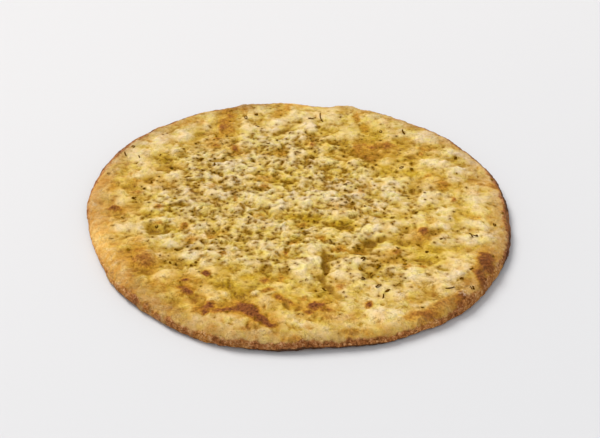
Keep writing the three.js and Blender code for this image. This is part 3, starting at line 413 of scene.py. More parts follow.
# wide, soft differences of the bake: G soaked golden with oil, R toasted tan, C pale and floury,
# D a shade darker, W less yellow
# kind, x, y, half length, half width, turn, strength
ZONES = [
    ("G", 5, -14, 16, 8, -10, 1.0), ("G", 30, -26, 14, 9, -20, 1.0), ("G", 15, -40, 22, 8, 15, 0.5),
    ("G", 92, 37, 26, 9, -30, 0.9), ("G", 65, 72, 38, 20, 5, 0.9), ("G", 55, 100, 14, 18, 0, 0.6),
    ("G", 45, 50, 30, 10, 0, 0.45), ("G", -12, 36, 24, 11, 8, 0.8), ("G", -55, 108, 9, 30, 5, 0.7),
    ("G", -100, 60, 14, 11, 0, 0.7), ("G", 88, -55, 22, 16, 0, 0.7), ("G", 78, -14, 12, 9, 0, 0.6),
    ("G", 120, -14, 13, 10, 0, 0.7), ("G", -45, -92, 38, 18, 0, 0.9), ("G", -8, -102, 22, 14, -20, 0.7),
    ("G", 12, -115, 20, 10, -35, 0.9), ("G", -62, -22, 28, 18, 0, 0.5), ("G", -100, -20, 14, 16, 0, 0.45),
    ("G", -38, -38, 14, 10, 0, 0.5), ("G", -10, -45, 14, 12, 0, 0.4), ("G", -115, -62, 22, 14, -40, 1.0),
    ("G", -88, -90, 26, 16, -40, 0.6), ("G", 20, 85, 12, 16, 0, 0.5), ("G", -12, 75, 14, 12, 0, 0.5),
    ("G", 50, 120, 8, 16, 0, 0.6), ("G", 45, -58, 18, 10, 10, 0.5), ("G", -125, 25, 18, 14, 0, 0.5),
    ("R", -138, 25, 12, 18, 0, 0.8), ("R", -128, -8, 12, 12, 0, 0.8), ("R", -143, -30, 10, 30, 0, 0.6),
    ("R", -112, -60, 18, 18, 0, 0.6), ("R", -105, -70, 14, 10, 0, 0.8), ("R", -72, -90, 14, 12, 0, 0.7),
    ("R", -55, -115, 18, 10, 0, 0.9), ("R", -28, -120, 18, 11, -40, 1.0), ("R", 12, -118, 20, 9, -20, 0.6),
    ("R", 30, -92, 10, 8, 0, 0.4), ("R", 55, 70, 18, 14, 0, 0.8), ("R", 85, 72, 14, 10, 0, 0.5),
    ("R", -60, 88, 10, 14, 0, 0.6), ("R", -45, 72, 9, 7, 0, 0.7), ("R", 10, 88, 8, 12, 0, 0.4),
    ("R", -55, 120, 8, 14, 0, 0.4), ("R", 135, 28, 12, 8, 0, 0.6), ("R", 128, -65, 12, 14, -30, 0.9),
    ("R", 88, -36, 10, 9, 0, 0.9), ("R", 35, -2, 12, 6, 0, 0.5), ("R", 45, 22, 12, 6, 0, 0.4),
    ("R", -60, -38, 12, 8, 0, 0.4), ("R", 85, -108, 14, 10, 30, 0.35), ("R", 120, -90, 14, 12, 0, 0.35),
    ("R", 62, -60, 12, 8, 0, 0.5), ("R", -75, 20, 12, 10, 0, 0.35), ("R", -105, 28, 14, 8, 0, 0.6),
    ("R", 100, 30, 10, 8, -30, 0.6), ("R", -100, 45, 12, 10, 0, 0.4),
    ("C", -125, 85, 16, 24, -20, 0.7), ("C", -100, 92, 10, 14, 0, 0.8), ("C", -45, 35, 12, 18, 0, 0.7),
    ("C", -35, 45, 9, 9, 0, 0.8), ("C", -30, 95, 18, 12, 0, 0.6), ("C", -28, 138, 12, 9, 0, 0.8),
    ("C", 5, 125, 14, 14, 0, 0.6), ("C", 32, 120, 12, 18, 0, 0.7), ("C", 68, 115, 12, 14, 0, 0.7),
    ("C", 92, 92, 12, 8, 0, 0.8), ("C", 62, 20, 18, 14, 0, 0.6), ("C", 118, 15, 12, 18, 0, 0.8),
    ("C", 100, 62, 8, 8, 0, 0.8), ("C", 120, -38, 14, 10, 0, 0.7), ("C", 105, -68, 12, 10, 0, 0.5),
    ("C", 75, -85, 12, 10, 0, 0.9), ("C", 35, -75, 9, 14, 0, 0.8), ("C", 5, -68, 9, 16, 0, 0.7),
    ("C", 60, -122, 16, 8, 30, 0.5), ("C", 48, -32, 12, 6, 20, 0.7), ("C", -82, -42, 12, 9, 0, 0.8),
    ("C", -62, -55, 12, 9, 0, 0.8), ("C", 10, 8, 12, 7, 0, 0.6), ("C", -120, 60, 10, 14, 0, 0.6),
    ("C", 138, -5, 8, 20, 0, 0.6), ("C", -36, -106, 12, 6, 0, 0.8), ("C", 12, -106, 12, 7, 0, 0.7),
    ("C", -60, -12, 16, 9, 0, 0.8), ("C", 38, 12, 12, 8, 0, 0.8), ("C", -86, 14, 14, 9, 0, 0.5),
    ("C", -10, -34, 10, 7, 0, 0.5), ("C", 12, 66, 10, 9, 0, 0.6),
    ("D", -84, 108, 14, 14, 0, 1.0), ("D", -34, 130, 16, 12, 0, 0.9), ("D", -12, 134, 14, 10, 0, 1.0),
    ("D", 36, 110, 10, 12, 0, 0.9), ("D", 84, 110, 12, 10, 0, 1.0), ("D", -86, 68, 12, 20, 0, 0.8),
    ("D", 46, 62, 20, 12, 0, 0.7), ("D", -20, 12, 20, 10, 0, 0.4), ("D", 60, -12, 12, 10, 0, 1.0),
    ("D", 14, -36, 11, 10, 0, 0.9), ("D", 58, -38, 10, 9, 0, 0.8), ("D", 36, -60, 10, 10, 0, 1.0),
    ("D", -50, -84, 22, 9, 0, 0.8), ("D", 60, -84, 24, 9, 0, 0.5), ("D", -14, -108, 9, 8, 0, 0.7), ("D", -108, -84, 12, 8, 0, 0.5),
    ("D", 132, 10, 8, 12, 0, 0.4), ("D", -106, -12, 10, 8, 0, 0.5),
    ("W", 100, 84, 26, 20, -30, 0.9), ("W", 120, 50, 18, 20, 0, 0.8), ("W", 134, 34, 9, 18, 0, 0.6),
    ("W", 108, -34, 14, 13, 0, 1.0), ("W", 108, -84, 14, 12, 0, 0.8), ("W", 50, -112, 30, 12, 0, 0.25),
    ("W", -84, -44, 16, 20, 0, 0.7), ("W", -106, 84, 14, 20, 0, 0.6), ("W", -30, -106, 14, 7, 0, 0.5),
    ("W", -8, 96, 18, 16, 0, 0.5), ("W", 36, 14, 14, 9, 0, 0.4), ("W", 88, 20, 16, 12, 0, 0.4),
]
# places where the skin is smooth: x, y, half length, half width, how much
SMOOTH = [(35, -85, 32, 26, 0.9), (-2, -78, 12, 20, 0.8), (88, -52, 28, 26, 0.8), (55, -100, 36, 18, 0.9),
          (62, 25, 20, 12, 0.4), (-45, 40, 12, 14, 0.3), (-95, -35, 22, 22, 0.5), (22, -22, 18, 10, 0.5)]
DEPTH = {"P": 0.7, "O": 0.6, "B": 1.0, "K": 0.62, "M": 1.0}
# the baked edge on its way round, every 15 degrees from +X. Distances are along the skin, outwards
# and down from a line 7 mm inside the outline, so 10 is about the widest line.
TAN_REACH = [11, 11, 9, 8, 7, 6, 6, 7, 7, 8, 9, 12, 14, 14, 13, 12, 9, 7, 6, 6, 8, 10, 11, 12]
TAN = [0.80, 0.70, 0.60, 0.50, 0.45, 0.45, 0.45, 0.45, 0.45, 0.50, 0.60, 0.85,
       1.00, 1.00, 0.90, 0.65, 0.42, 0.30, 0.28, 0.30, 0.42, 0.55, 0.65, 0.75]
RUST_AT = [1.4, 1.6, 1.0, 1.2, 1.8, 2.6, 3.0, 0.6, 1.9, 0.4, 0.4, 3.0,
           6.0, 8.0, 6.6, 4.8, 5.8, 6.0, 6.0, 7.4, 7.4, 5.2, 5.2, 3.6]
REDNESS = [0.80, 0.75, 0.70, 0.60, 0.50, 0.50, 0.45, 0.60, 0.50, 0.60, 0.65, 0.60,
           0.40, 0.30, 0.45, 0.60, 0.62, 0.75, 0.95, 0.95, 0.85, 0.62, 0.50, 0.75]
CHAR_AT = [4.3, 3.9, 2.8, 2.6, 2.8, 3.2, 3.2, 2.4, 2.8, 2.5, 3.0, 6.8,
           11.2, 12.6, 13.5, 14.5, 14.5, 12.6, 10.4, 11.4, 12.6, 13.5, 12.5, 6.2]
SHADE = [0.10, 0.04, 0.12, 0.10, 0.10, 0.10, -0.05, 0.19, 0.07, 0.12, 0.15, 0.07,
         0.12, -0.05, 0.05, 0.14, 0.10, 0.09, 0.07, 0.02, -0.03, 0.10, 0.09, 0.12]


# ---------------------------------------------------------------- functions
def smooth(a, b, v):
    t = np.clip((np.asarray(v, float) - a) / (b - a), 0, 1)
    return t * t * (3 - 2 * t)


def hashed(ix, iy, seed):
    ix = (ix.astype(np.int64) & 0xFFFFFFFF).astype(np.uint32)
    iy = (iy.astype(np.int64) & 0xFFFFFFFF).astype(np.uint32)
    n = (ix * np.uint32(374761393)) ^ (iy * np.uint32(668265263))
    n = n ^ np.uint32((seed * 1442695041) & 0xFFFFFFFF)
    n = (n ^ (n >> np.uint32(13))) * np.uint32(1274126177)
    n = (n ^ (n >> np.uint32(16))) * np.uint32(2246822519)
    n = n ^ (n >> np.uint32(13))
    return ((n >> np.uint32(8)) & np.uint32(0xFFFFFF)) / 16777216.0


def noise(x, y, seed):
    x, y = np.atleast_1d(np.asarray(x, float)), np.atleast_1d(np.asarray(y, float))
    ix, iy = np.floor(x), np.floor(y)
    fx, fy = x - ix, y - iy

    def g(i, j):
        a = TAU * hashed(ix + i, iy + j, seed)
        return np.cos(a) * (fx - i) + np.sin(a) * (fy - j)

    u, v = fx ** 3 * (fx * (fx * 6 - 15) + 10), fy ** 3 * (fy * (fy * 6 - 15) + 10)
    a, b = g(0, 0) * (1 - u) + g(1, 0) * u, g(0, 1) * (1 - u) + g(1, 1) * u
    return 1.5 * (a * (1 - v) + b * v)


def cells(x, y, seed):
    """Distance to the nearest of one random point per unit cell, and that point's own number."""
    ix, iy = np.floor(x), np.floor(y)
    best, own = np.full(x.shape, 9.0), np.zeros(x.shape)
    for i in (-1, 0, 1):
        for j in (-1, 0, 1):
            px = ix + i + hashed(ix + i, iy + j, seed)
            py = iy + j + hashed(ix + i, iy + j, seed + 1)
            d = np.hypot(x - px, y - py)
            near = d < best
            best = np.where(near, d, best)
            own = np.where(near, hashed(ix + i, iy + j, seed + 2), own)
    return best, own


def outline(t):
    n = len(OUTLINE)
    u = (np.asarray(t, float) / TAU % 1.0) * n
    i = np.floor(u).astype(int)
    f = u - i
    a, b, c, d = (OUTLINE[(i + k) % n] for k in (-1, 0, 1, 2))
    return 0.5 * (2 * b + (c - a) * f + (2 * a - 5 * b + 4 * c - d) * f * f + (3 * b - a - 3 * c + d) * f ** 3)


def around(table, t):
    n = len(table)
    u = (np.asarray(t, float) / TAU % 1.0) * n
    i = np.floor(u).astype(int) % n
    f = u - np.floor(u)
    f = f * f * (3 - 2 * f)
    a = np.array(table, float)
    return a[i] * (1 - f) + a[(i + 1) % n] * f


def rim_height(t):
    t = np.atleast_1d(np.asarray(t, float))
    h = RIM_HEIGHT * (1 + 0.07 * noise(3 * np.cos(t) + 9, 3 * np.sin(t) + 9, 5))
    for at, width, rise in RIM_SWELLS:
        off = np.abs((np.degrees(t) - at + 540) % 360 - 180)
        h = h + rise * (1 - smooth(0.2, 1.5, off / width))
    return h


def marks_at(x, y, kinds, blur=0.0, value=None):
    """How strongly marks of these kinds show at each point (0 to 1), or their summed heights."""
    qx = x + 1.6 * noise(x / 7, y / 7, 21) + 0.7 * noise(x / 2.6, y / 2.6, 23)
    qy = y + 1.6 * noise(x / 7, y / 7, 22) + 0.7 * noise(x / 2.6, y / 2.6, 24)
    total = np.zeros(x.shape)
    for kind, mx, my, rx, ry, turn, strength, high in MARKS:
        if kind not in kinds:
            continue
        amount = high * DEPTH[kind] if value == "height" else strength
        if not amount:
            continue
        reach = (1.5 + blur) * max(rx, ry) + 2
        dx, dy = qx - mx, qy - my
        near = (np.abs(dx) < reach) & (np.abs(dy) < reach)
        if not near.any():
            continue
        dx, dy = dx[near], dy[near]
        c, s = math.cos(math.radians(turn)), math.sin(math.radians(turn))
        q = np.hypot((dx * c + dy * s) / rx, (-dx * s + dy * c) / ry)
        if value == "height":
            total[near] += amount * (1 - smooth(0.35, 1.4, q))
        else:
            k = amount * (1 - smooth(0.45 - blur, 1.3 + blur, q))
            total[near] = 1 - (1 - total[near]) * (1 - k)
    return total


def crumb_at(x, y, d):
    """How rough the crust is: open crumb in the middle, smooth skin towards the rim and on the front lobes."""
    far = np.hypot(x + 16, 1.05 * (y - 14)) + 16 * noise(x / 26, y / 26, 36)
    rough = 1 - smooth(58, 112, far)
    for mx, my, rx, ry, amount in SMOOTH:
        rough = rough * (1 - amount * np.exp(-0.8 * (((x - mx) / rx) ** 2 + ((y - my) / ry) ** 2)))
    return (0.20 + 0.80 * rough) * smooth(0, 9, d)


def relief(x, y, d):
    """The top crust's swellings, hollows and pores, above or below its mean, d inside the outline."""
    wx, wy = x + 4 * noise(x / 21, y / 21, 7), y + 4 * noise(x / 21, y / 21, 8)
    inner = smooth(1, 13, d)
    z = (0.35 + 0.65 * inner) * 0.9 * noise(wx / 34, wy / 34, 1)
    z += (0.30 + 0.70 * inner) * 1.05 * noise(wx / 15, wy / 15, 2)
    z += marks_at(x, y, "POBKM", value="height")
    # small pillows with creases between them, then crumbs, then grain
    vx, vy = x + 2.2 * noise(x / 9, y / 9, 31), y + 2.2 * noise(x / 9, y / 9, 32)
    vx, vy = vx + 0.8 * noise(x / 3.3, y / 3.3, 33), vy + 0.8 * noise(x / 3.3, y / 3.3, 34)
    crumb = crumb_at(x, y, d)
    small = 0.30 + 0.70 * smooth(2, 12, d)
    rough = 0.20 * small + 0.92 * crumb * (0.75 + 0.4 * smooth(-0.5, 0.6, noise(x / 27, y / 27, 35)))
    z += small * (0.65 + 0.35 * crumb) * 0.98 * (np.abs(noise(vx / 12.0, vy / 10.5, 3)) - 0.30)
    z += rough * 1.08 * (np.abs(noise(vx / 7.4, vy / 6.4, 4)) - 0.30)
    z += rough * 0.62 * (0.30 - np.abs(noise(vx / 4.6 + 5, vy / 4.0, 6)))
    z += rough * 0.36 * noise(vx / 2.8, vy / 2.6, 9)
    # long thin creases where the skin is smooth
    skin = small * (1 - 0.8 * crumb)
    z -= skin * 0.60 * (1 - smooth(0.0, 0.13, np.abs(noise(vx / 13 + 3, vy / 11, 37)))) * smooth(-0.3, 0.4, noise(x / 20, y / 20, 38))
    z += skin * 0.35 * (1 - smooth(0.0, 0.12, np.abs(noise(vx / 9, vy / 8 + 3, 39)))) * smooth(-0.2, 0.5, noise(x / 16 + 7, y / 16, 38))
    # burst bubbles: small open pits
    f, own = cells(vx / 7.5, vy / 7.5, 40)
    size = 0.10 + 0.14 * own
    z -= small * (0.35 + 0.65 * crumb) * (own > 0.45) * (0.5 + 0.9 * own) * (1 - smooth(0.45, 1.15, f / size))
    f, own = cells(vx / 4.8, vy / 4.8, 50)
    z -= rough * (own > 0.45) * (0.3 + 0.5 * own) * (1 - smooth(0.25, 1.1, f / 0.27))
    return z


# section of the rim from the top inwards round to the underside: inset, share of the rim height
RIM_SECTION = [(9.0, 0.985), (7.2, 0.962), (5.4, 0.92), (3.8, 0.855), (2.4, 0.76), (1.3, 0.645), (0.5, 0.51), (0.1, 0.38), (0.0, 0.27),
               (0.15, 0.17), (0.6, 0.095), (1.4, 0.052), (2.8, 0.026), (5.0, 0.010), (7.5, 0.002)]


def resampled(points, step):
    p = np.array(points, float) * [1, RIM_HEIGHT]
    # smooth through the points
    n, out = len(p), []
    for i in range(n - 1):
        a, b, c, d = p[max(i - 1, 0)], p[i], p[i + 1], p[min(i + 2, n - 1)]
        for f in np.linspace(0, 1, 24, endpoint=False):
            out.append(0.5 * (2 * b + (c - a) * f + (2 * a - 5 * b + 4 * c - d) * f * f + (3 * b - a - 3 * c + d) * f ** 3))
    out.append(p[-1])
    out = np.array(out)
    s = np.concatenate([[0], np.cumsum(np.linalg.norm(np.diff(out, axis=0), axis=1))])
    at = np.linspace(0, s[-1], int(round(s[-1] / step)) + 1)
    return np.stack([np.interp(at, s, out[:, k]) for k in (0, 1)], 1) / [1, RIM_HEIGHT], at


def top_base(d, t):
    """Mean height of the top, d inside the outline."""
    inner = smooth(4, 24, d)
    edge = 1 - smooth(RIM_WIDTH, 34, d)
    return (RIM_HEIGHT * 0.985 + (CRUMB_HEIGHT - RIM_HEIGHT * 0.985) * inner) + edge * (rim_height(t) - RIM_HEIGHT) * 0.985


# ---------------------------------------------------------------- the loaf
def stitch(inner, outer, up, faces):
    n, m, i, j = len(inner), len(outer), 0, 0
    while i < n or j < m:
        step_outer = j < m and (i >= n or (j + 0.5) / m <= (i + 0.5) / n)
        a, b = inner[i % n], outer[j % m]
        c = outer[(j + 1) % m] if step_outer else inner[(i + 1) % n]
        faces.append((a, b, c) if up else (a, c, b))
        if step_outer:
            j += 1
        else:
            i += 1


def loaf_points():
    """Vertices as x, y, z, inset from the outline, height share of the rim, and 0 top, 1 side, 2 underside."""
    parts, rings, at = [], [], 0

    def push(x, y, z, d, share, zone, reach):
        nonlocal at
        n = len(x)
        parts.append(np.stack([x, y, z, d, np.broadcast_to(share, n), np.broadcast_to(float(zone), n),
                               np.broadcast_to(reach, n)], 1))
        rings.append(range(at, at + n))
        at += n

    # the top
    t = np.zeros(1)
    d0 = outline(t)
    push(np.zeros(1), np.zeros(1), top_base(d0, t) + relief(np.zeros(1), np.zeros(1), d0), d0, 1.0, 0, 0.0)
    ts, rs, ks = [], [], []
    for k in range(1, TOP_RINGS + 1):
        t = np.arange(6 * k) / (6 * k) * TAU
        ts.append(t)
        rs.append((outline(t) - RIM_WIDTH) * k / TOP_RINGS)
        ks.append(np.full(6 * k, k))
    t, r = np.concatenate(ts), np.concatenate(rs)
    x, y, d = r * np.cos(t), r * np.sin(t), outline(t) - r
    z = top_base(d, t) + relief(x, y, d)
    i = 0
    for k in range(1, TOP_RINGS + 1):
        s = slice(i, i + 6 * k)
        push(x[s], y[s], z[s], d[s], 1.0, 0, r[s])
        i += 6 * k
    # round the rim
    section, along = resampled(RIM_SECTION, 1.0)
    count = 6 * TOP_RINGS
    t = np.arange(count) / count * TAU
    R, H = outline(t), rim_height(t)
    slope = np.gradient(section * [1, RIM_HEIGHT], axis=0)
    for j in range(1, len(section)):
        inset, share = section[j]
        nr, nz = -slope[j][1], -slope[j][0]
        length = math.hypot(nr, nz)
        nr, nz = nr / length, nz / length
        s = along[j]
        low = 1 - smooth(0.05, 0.35, share)
        px, py = R * np.cos(t), R * np.sin(t)
        push_out = 0.55 * noise(px / 19 + s * 0.02, py / 19, 61) + 0.42 * noise(px / 6.5 + s * 0.08, py / 6.5 - s * 0.06, 62)
        push_out += 0.22 * (np.abs(noise(px / 3.4 + s * 0.22, py / 3.4 - s * 0.2, 63)) - 0.3)
        push_out += 0.30 * noise(px / 2.2 + s * 0.42, py / 2.2 - s * 0.36, 64)
        push_out *= smooth(0, 3.0, s) * (1 - 0.85 * smooth(0.0, 1.0, (s - along[-1] + 4) / 4))
        keep = smooth(0.35, 0.97, share)
        r = R - inset + nr * push_out
        x, y = r * np.cos(t), r * np.sin(t)
        z = H * share + nz * push_out + keep * relief(x, y, np.full(count, inset))
        z = z + 0.9 * low * smooth(0.2, 0.9, noise(px / 30, py / 30, 65) + 0.4) * smooth(7.5, 1.0, inset)
        push(x, y, np.maximum(z, 0.02), np.full(count, inset), share, 1, outline(t) - RIM_WIDTH + s)
    # the underside, which rests on its lowest patches
    for k in range(UNDER_RINGS, 0, -1):
        t = np.arange(6 * k) / (6 * k) * TAU
        r = (outline(t) - 10.0) * k / UNDER_RINGS
        x, y = r * np.cos(t), r * np.sin(t)
        z = 0.45 * np.maximum(0, noise(x / 24, y / 24, 71) + 0.5 * noise(x / 9, y / 9, 72)) + 0.12 * np.maximum(0, noise(x / 5, y / 5, 73))
        push(x, y, z, outline(t) - r, 0.0, 2, r)
    push(np.zeros(1), np.zeros(1), np.zeros(1), outline(np.zeros(1)), 0.0, 2, 0.0)
    faces = []
    top, side = rings[: TOP_RINGS + 1], rings[TOP_RINGS + 1: TOP_RINGS + len(section)]
    under = rings[TOP_RINGS + len(section):]
    for i in range(6):
        faces.append((top[0][0], top[1][i], top[1][(i + 1) % 6]))
    for a, b in zip(top[1:], top[2:] + side[:1]):
        stitch(a, b, True, faces)
    for a, b in zip(side, side[1:]):
        stitch(a, b, True, faces)
    stitch(under[0], side[-1], False, faces)
    for a, b in zip(under[:-2], under[1:-1]):
        stitch(b, a, False, faces)
    last, centre = under[-2], under[-1][0]
    for i in range(6):
        faces.append((centre, last[(i + 1) % 6], last[i]))
    return np.concatenate(parts), np.array(faces, np.int32)


def blurred(grid, sigma):
    """A Gaussian blur by Fourier transform."""
    n = grid.shape[0]
    f = np.fft.fftfreq(n)
    k = np.exp(-2 * (math.pi * sigma) ** 2 * (f[:, None] ** 2 + f[None, :] ** 2))
    return np.fft.ifft2(np.fft.fft2(grid) * k).real


def sampled(grid, x, y, step, half):
    u, v = (x + half) / step, (y + half) / step
    n = grid.shape[0]
    u, v = np.clip(u, 0, n - 1.001), np.clip(v, 0, n - 1.001)
    i, j = u.astype(int), v.astype(int)
    fu, fv = u - i, v - j
    return ((grid[j, i] * (1 - fu) + grid[j, i + 1] * fu) * (1 - fv)
            + (grid[j + 1, i] * (1 - fu) + grid[j + 1, i + 1] * fu) * fv)


def new_mesh(name, verts, faces, smooth_shading=True):
    me = bpy.data.meshes.new(name)
    verts = np.asarray(verts, np.float32)
    faces = np.asarray(faces, np.int32)
    me.vertices.add(len(verts))
    me.vertices.foreach_set("co", verts.ravel())
    me.loops.add(faces.size)
    me.loops.foreach_set("vertex_index", faces.ravel())
    me.polygons.add(len(faces))
    me.polygons.foreach_set("loop_start", np.arange(0, faces.size, faces.shape[1], dtype=np.int32))
    me.polygons.foreach_set("loop_total", np.full(len(faces), faces.shape[1], np.int32))
    me.polygons.foreach_set("use_smooth", np.full(len(faces), smooth_shading))
    me.update(calc_edges=True)
    me.validate()
    ob = bpy.data.objects.new(name, me)
    bpy.context.scene.collection.objects.link(ob)
    return ob


def put(me, name, values):
    a = me.attributes.new(name, "FLOAT", "POINT")
    a.data.foreach_set("value", np.asarray(values, np.float32))


P, F = loaf_points()
x, y, z, inset, share, zone, reach = P.T
theta = np.arctan2(y, x) % TAU
R_here = outline(theta)
loaf = new_mesh("focaccia_loaf", (P[:, :3] - CENTRE) * MM, F)

# Height maps on a grid: the top itself, and what stands proud of its surroundings at several scales.
HALF, STEP = 160.0, 0.5
axis = np.arange(int(2 * HALF / STEP)) * STEP - HALF
GX, GY = np.meshgrid(axis, axis)
gt = (np.arctan2(GY, GX) % TAU).ravel()
gd = outline(gt) - np.hypot(GX, GY).ravel()
gr = relief(GX.ravel(), GY.ravel(), np.maximum(gd, 0))
section, _ = resampled(RIM_SECTION, 0.5)
upper = section[: int(np.argmin(section[:, 0])) + 1][::-1]
gs = np.interp(gd, upper[:, 0], upper[:, 1])
top_map = np.where(gd < RIM_WIDTH, rim_height(gt) * gs, top_base(gd, gt)) + gr * smooth(0.35, 0.97, np.where(gd < RIM_WIDTH, gs, 1.0))
top_map, gr, gd = (v.reshape(GX.shape) for v in (top_map, gr, gd))
b1, b3, b8 = blurred(gr, 1.0 / STEP), blurred(gr, 3.0 / STEP), blurred(gr, 8.0 / STEP)
sharp = sampled(gr - b1, x, y, STEP, HALF) / float((gr - b1)[gd > 20].std())
fine = sampled(b1 - b3, x, y, STEP, HALF) / float((b1 - b3)[gd > 20].std())
broad = sampled(b3 - b8, x, y, STEP, HALF) / float((b3 - b8)[gd > 20].std())
top = smooth(0.30, 0.75, share) * (zone < 1.5)


def surface_height(px, py):
    """Height of the loaf's own top at these points, and its slopes."""
    e = 1.0
    z0 = sampled(top_map, px, py, STEP, HALF)
    sx = (sampled(top_map, px + e, py, STEP, HALF) - sampled(top_map, px - e, py, STEP, HALF)) / (2 * e)
    sy = (sampled(top_map, px, py + e, STEP, HALF) - sampled(top_map, px, py - e, STEP, HALF)) / (2 * e)
    return z0, sx, sy


FLAKES = 1800
proud = (b1 - b8) / float((b1 - b8)[gd > 20].std())


def scatter():
    """Places for the small flakes: dense in the middle, sparse at the rim."""
    rng = np.random.default_rng(7)
    out = []
    tries = 0
    while len(out) < FLAKES and tries < 200000:
        tries += 1
        px, py = rng.uniform(-152, 152, 2)
        t = math.atan2(py, px) % TAU
        d = float(outline(t)) - math.hypot(px, py)
        if d < 3.5:
            continue
        cx, cy = px + 2.0, py - 2.0
        keep = 0.18 + 0.82 * float(1 - smooth(78, 128, math.hypot(cx, cy)))
        keep *= 0.45 + 0.9 * float(smooth(-0.6, 0.7, noise(px / 13, py / 13, 91)[0]))
        # herb gathers in the hollows
        keep *= 0.42 + 0.58 * float(smooth(0.9, -0.7, sampled(proud, px, py, STEP, HALF)))
        sprinkled = math.exp(-((px - 56) / 28) ** 2 - ((py + 74) / 20) ** 2)
        keep *= 0.30 + 0.70 * max(3.0 * sprinkled, float(crumb_at(np.array([px]), np.array([py]), np.array([d]))[0]))
        if rng.random() > keep:
            continue
        out.append((px, py))
    return np.array(out)


spots = scatter()
dots = np.zeros(GX.shape)
np.add.at(dots, (np.round((spots[:, 1] + HALF) / STEP).astype(int), np.round((spots[:, 0] + HALF) / STEP).astype(int)), 1.0)
stain = sampled(blurred(dots, 1.0 / STEP), x, y, STEP, HALF) * TAU * (1.0 / STEP) ** 2

# ---------------------------------------------------------------- masks
n_big = noise(x / 26, y / 26, 81)
n_mid = noise(x / 11, y / 11, 82)
n_small = noise(x / 4.5, y / 4.5, 83)


def zones_at(kind):
    qx = x + 4 * noise(x / 16, y / 16, 95) + 1.5 * noise(x / 5, y / 5, 96)
    qy = y + 4 * noise(x / 16, y / 16, 97) + 1.5 * noise(x / 5, y / 5, 98)
    total = np.zeros(x.shape)
    for k, mx, my, rx, ry, turn, strength in ZONES:
        if k == kind:
            c, s = math.cos(math.radians(turn)), math.sin(math.radians(turn))
            dx, dy = qx - mx, qy - my
            q = ((dx * c + dy * s) / rx) ** 2 + ((-dx * s + dy * c) / ry) ** 2
            total = 1 - (1 - total) * (1 - strength * np.exp(-0.7 * q))
    return total


gold, toast, floury = zones_at("G"), zones_at("R"), zones_at("C")
ring = 1 - smooth(14, 46, inset)
darker, buff = zones_at("D"), zones_at("W")
mottle = noise(x / 12 + 4, y / 12, 92) + 0.7 * noise(x / 5.5, y / 5.5, 93)
toast = np.clip(toast + 0.75 * ring * smooth(0.0, 0.9, mottle), 0, 1)
floury = np.clip(floury + 0.7 * ring * smooth(0.1, 1.0, -mottle), 0, 1)
pale_marks = marks_at(x, y, "P", 0.1)
oil_marks = np.maximum(marks_at(x, y, "O", 0.1), 0.6 * marks_at(x, y, "K"))
brown_marks = (1.28 - 0.28 * smooth(-75, -45, y) - 0.1 * smooth(20, 80, x)) * marks_at(x, y, "B", 0.30)
halo = marks_at(x, y, "B", 1.1)
deep_marks = marks_at(x, y, "K")
ash = marks_at(x, y, "M")
middle = smooth(10, 45, inset)
crumb = crumb_at(x, y, inset)
oil = smooth(-0.2, 1.1, 0.45 * n_big + 0.45 * n_mid - 0.34 * broad - 0.18 * fine + 0.02) * (0.35 + 0.65 * middle) * 0.6
oil = np.clip(1 - (1 - oil) * (1 - 0.85 * oil_marks), 0, 1) * (1 - 0.7 * pale_marks)
pale = smooth(-0.2, 1.6, 0.75 * broad + 0.45 * fine - 0.3 * n_big + 0.25 * n_small + 0.7 * floury - 0.5 * gold)
pale = np.clip(1 - (1 - 0.7 * pale) * (1 - pale_marks), 0, 1) * (1 - 0.6 * oil_marks)
brown = brown_marks + 0.16 * smooth(0.35, 1.1, n_mid + 0.5 * n_small + 0.4 * noise(x / 7, y / 7, 84)) * (1 - pale_marks)
# painted light and shade: the tone is lighter where the relief stands proud of its surroundings and darker in its
# hollows, at three scales, as light would fall on it
tone = 0.55 + 0.065 * broad + 0.075 * fine + 0.075 * sharp + 0.03 * n_small + 0.04 * n_mid
# creases and pits (K marks) are darker, partly the oil they hold and partly painted shade
tone = tone + 0.04 * pale_marks - 0.08 * oil_marks - 0.07 * deep_marks + 0.08 * floury - 0.07 * gold - 0.11 * toast
# painted shade: smooth skin is made darker overall, for the shade its missing pores and lumps would give; the D zones
# are simply darker
tone = tone + 0.035 - 0.14 * (1 - crumb) - 0.14 * darker
# how far along the skin each point is from the line 7 mm inside the outline
skin = reach - (R_here - RIM_WIDTH) - 2.0
skin = np.where(zone > 1.5, 30.0, skin)
redness_here = around(REDNESS, theta)
shaded = (around(SHADE, theta) * smooth(-14, 1, skin) + 0.10 * smooth(4, 9, skin) * smooth(9.5, 8.5, around(CHAR_AT, theta))) * (zone < 1.5)
ragged = 2.0 * noise(x / 15, y / 15, 87) + 1.6 * noise(x / 6, y / 6, 85) + 1.4 * noise(x / 2.6, y / 2.6, 86) + 0.5 * n_small
tan_rim = (1 - 0.85 * np.clip(brown_marks, 0, 1)) * around(TAN, theta) * smooth(-1.0, 1.0, (skin - 3 + 0.6 * around(TAN_REACH, theta)) / (0.6 * around(TAN_REACH, theta)) + 0.35 * n_mid)
rust = smooth(-2.2, 2.2, skin - around(RUST_AT, theta) - 0.8 * ragged)
rust = rust * (1 - 0.55 * smooth(0.15, 0.75, noise(x / 10, y / 10, 88) + 0.4 * noise(x / 3, y / 3, 89)) * (1 - smooth(0.6, 0.9, redness_here)))
redness = redness_here + 0.25 * n_mid + 0.20 * n_small
past = skin - around(CHAR_AT, theta)
uneven = past - 0.8 * ragged - 5.0 * noise(x / 14, y / 14, 90)
char = smooth(-1.2, 0.8, past - 0.35 * ragged) * (1 - (0.28 + 0.5 * smooth(0.5, 7.5, uneven)) * smooth(9.5, 8.5, around(CHAR_AT, theta)))
under = np.where(zone > 1.5, 1.0, smooth(12.5, 15.5, skin))

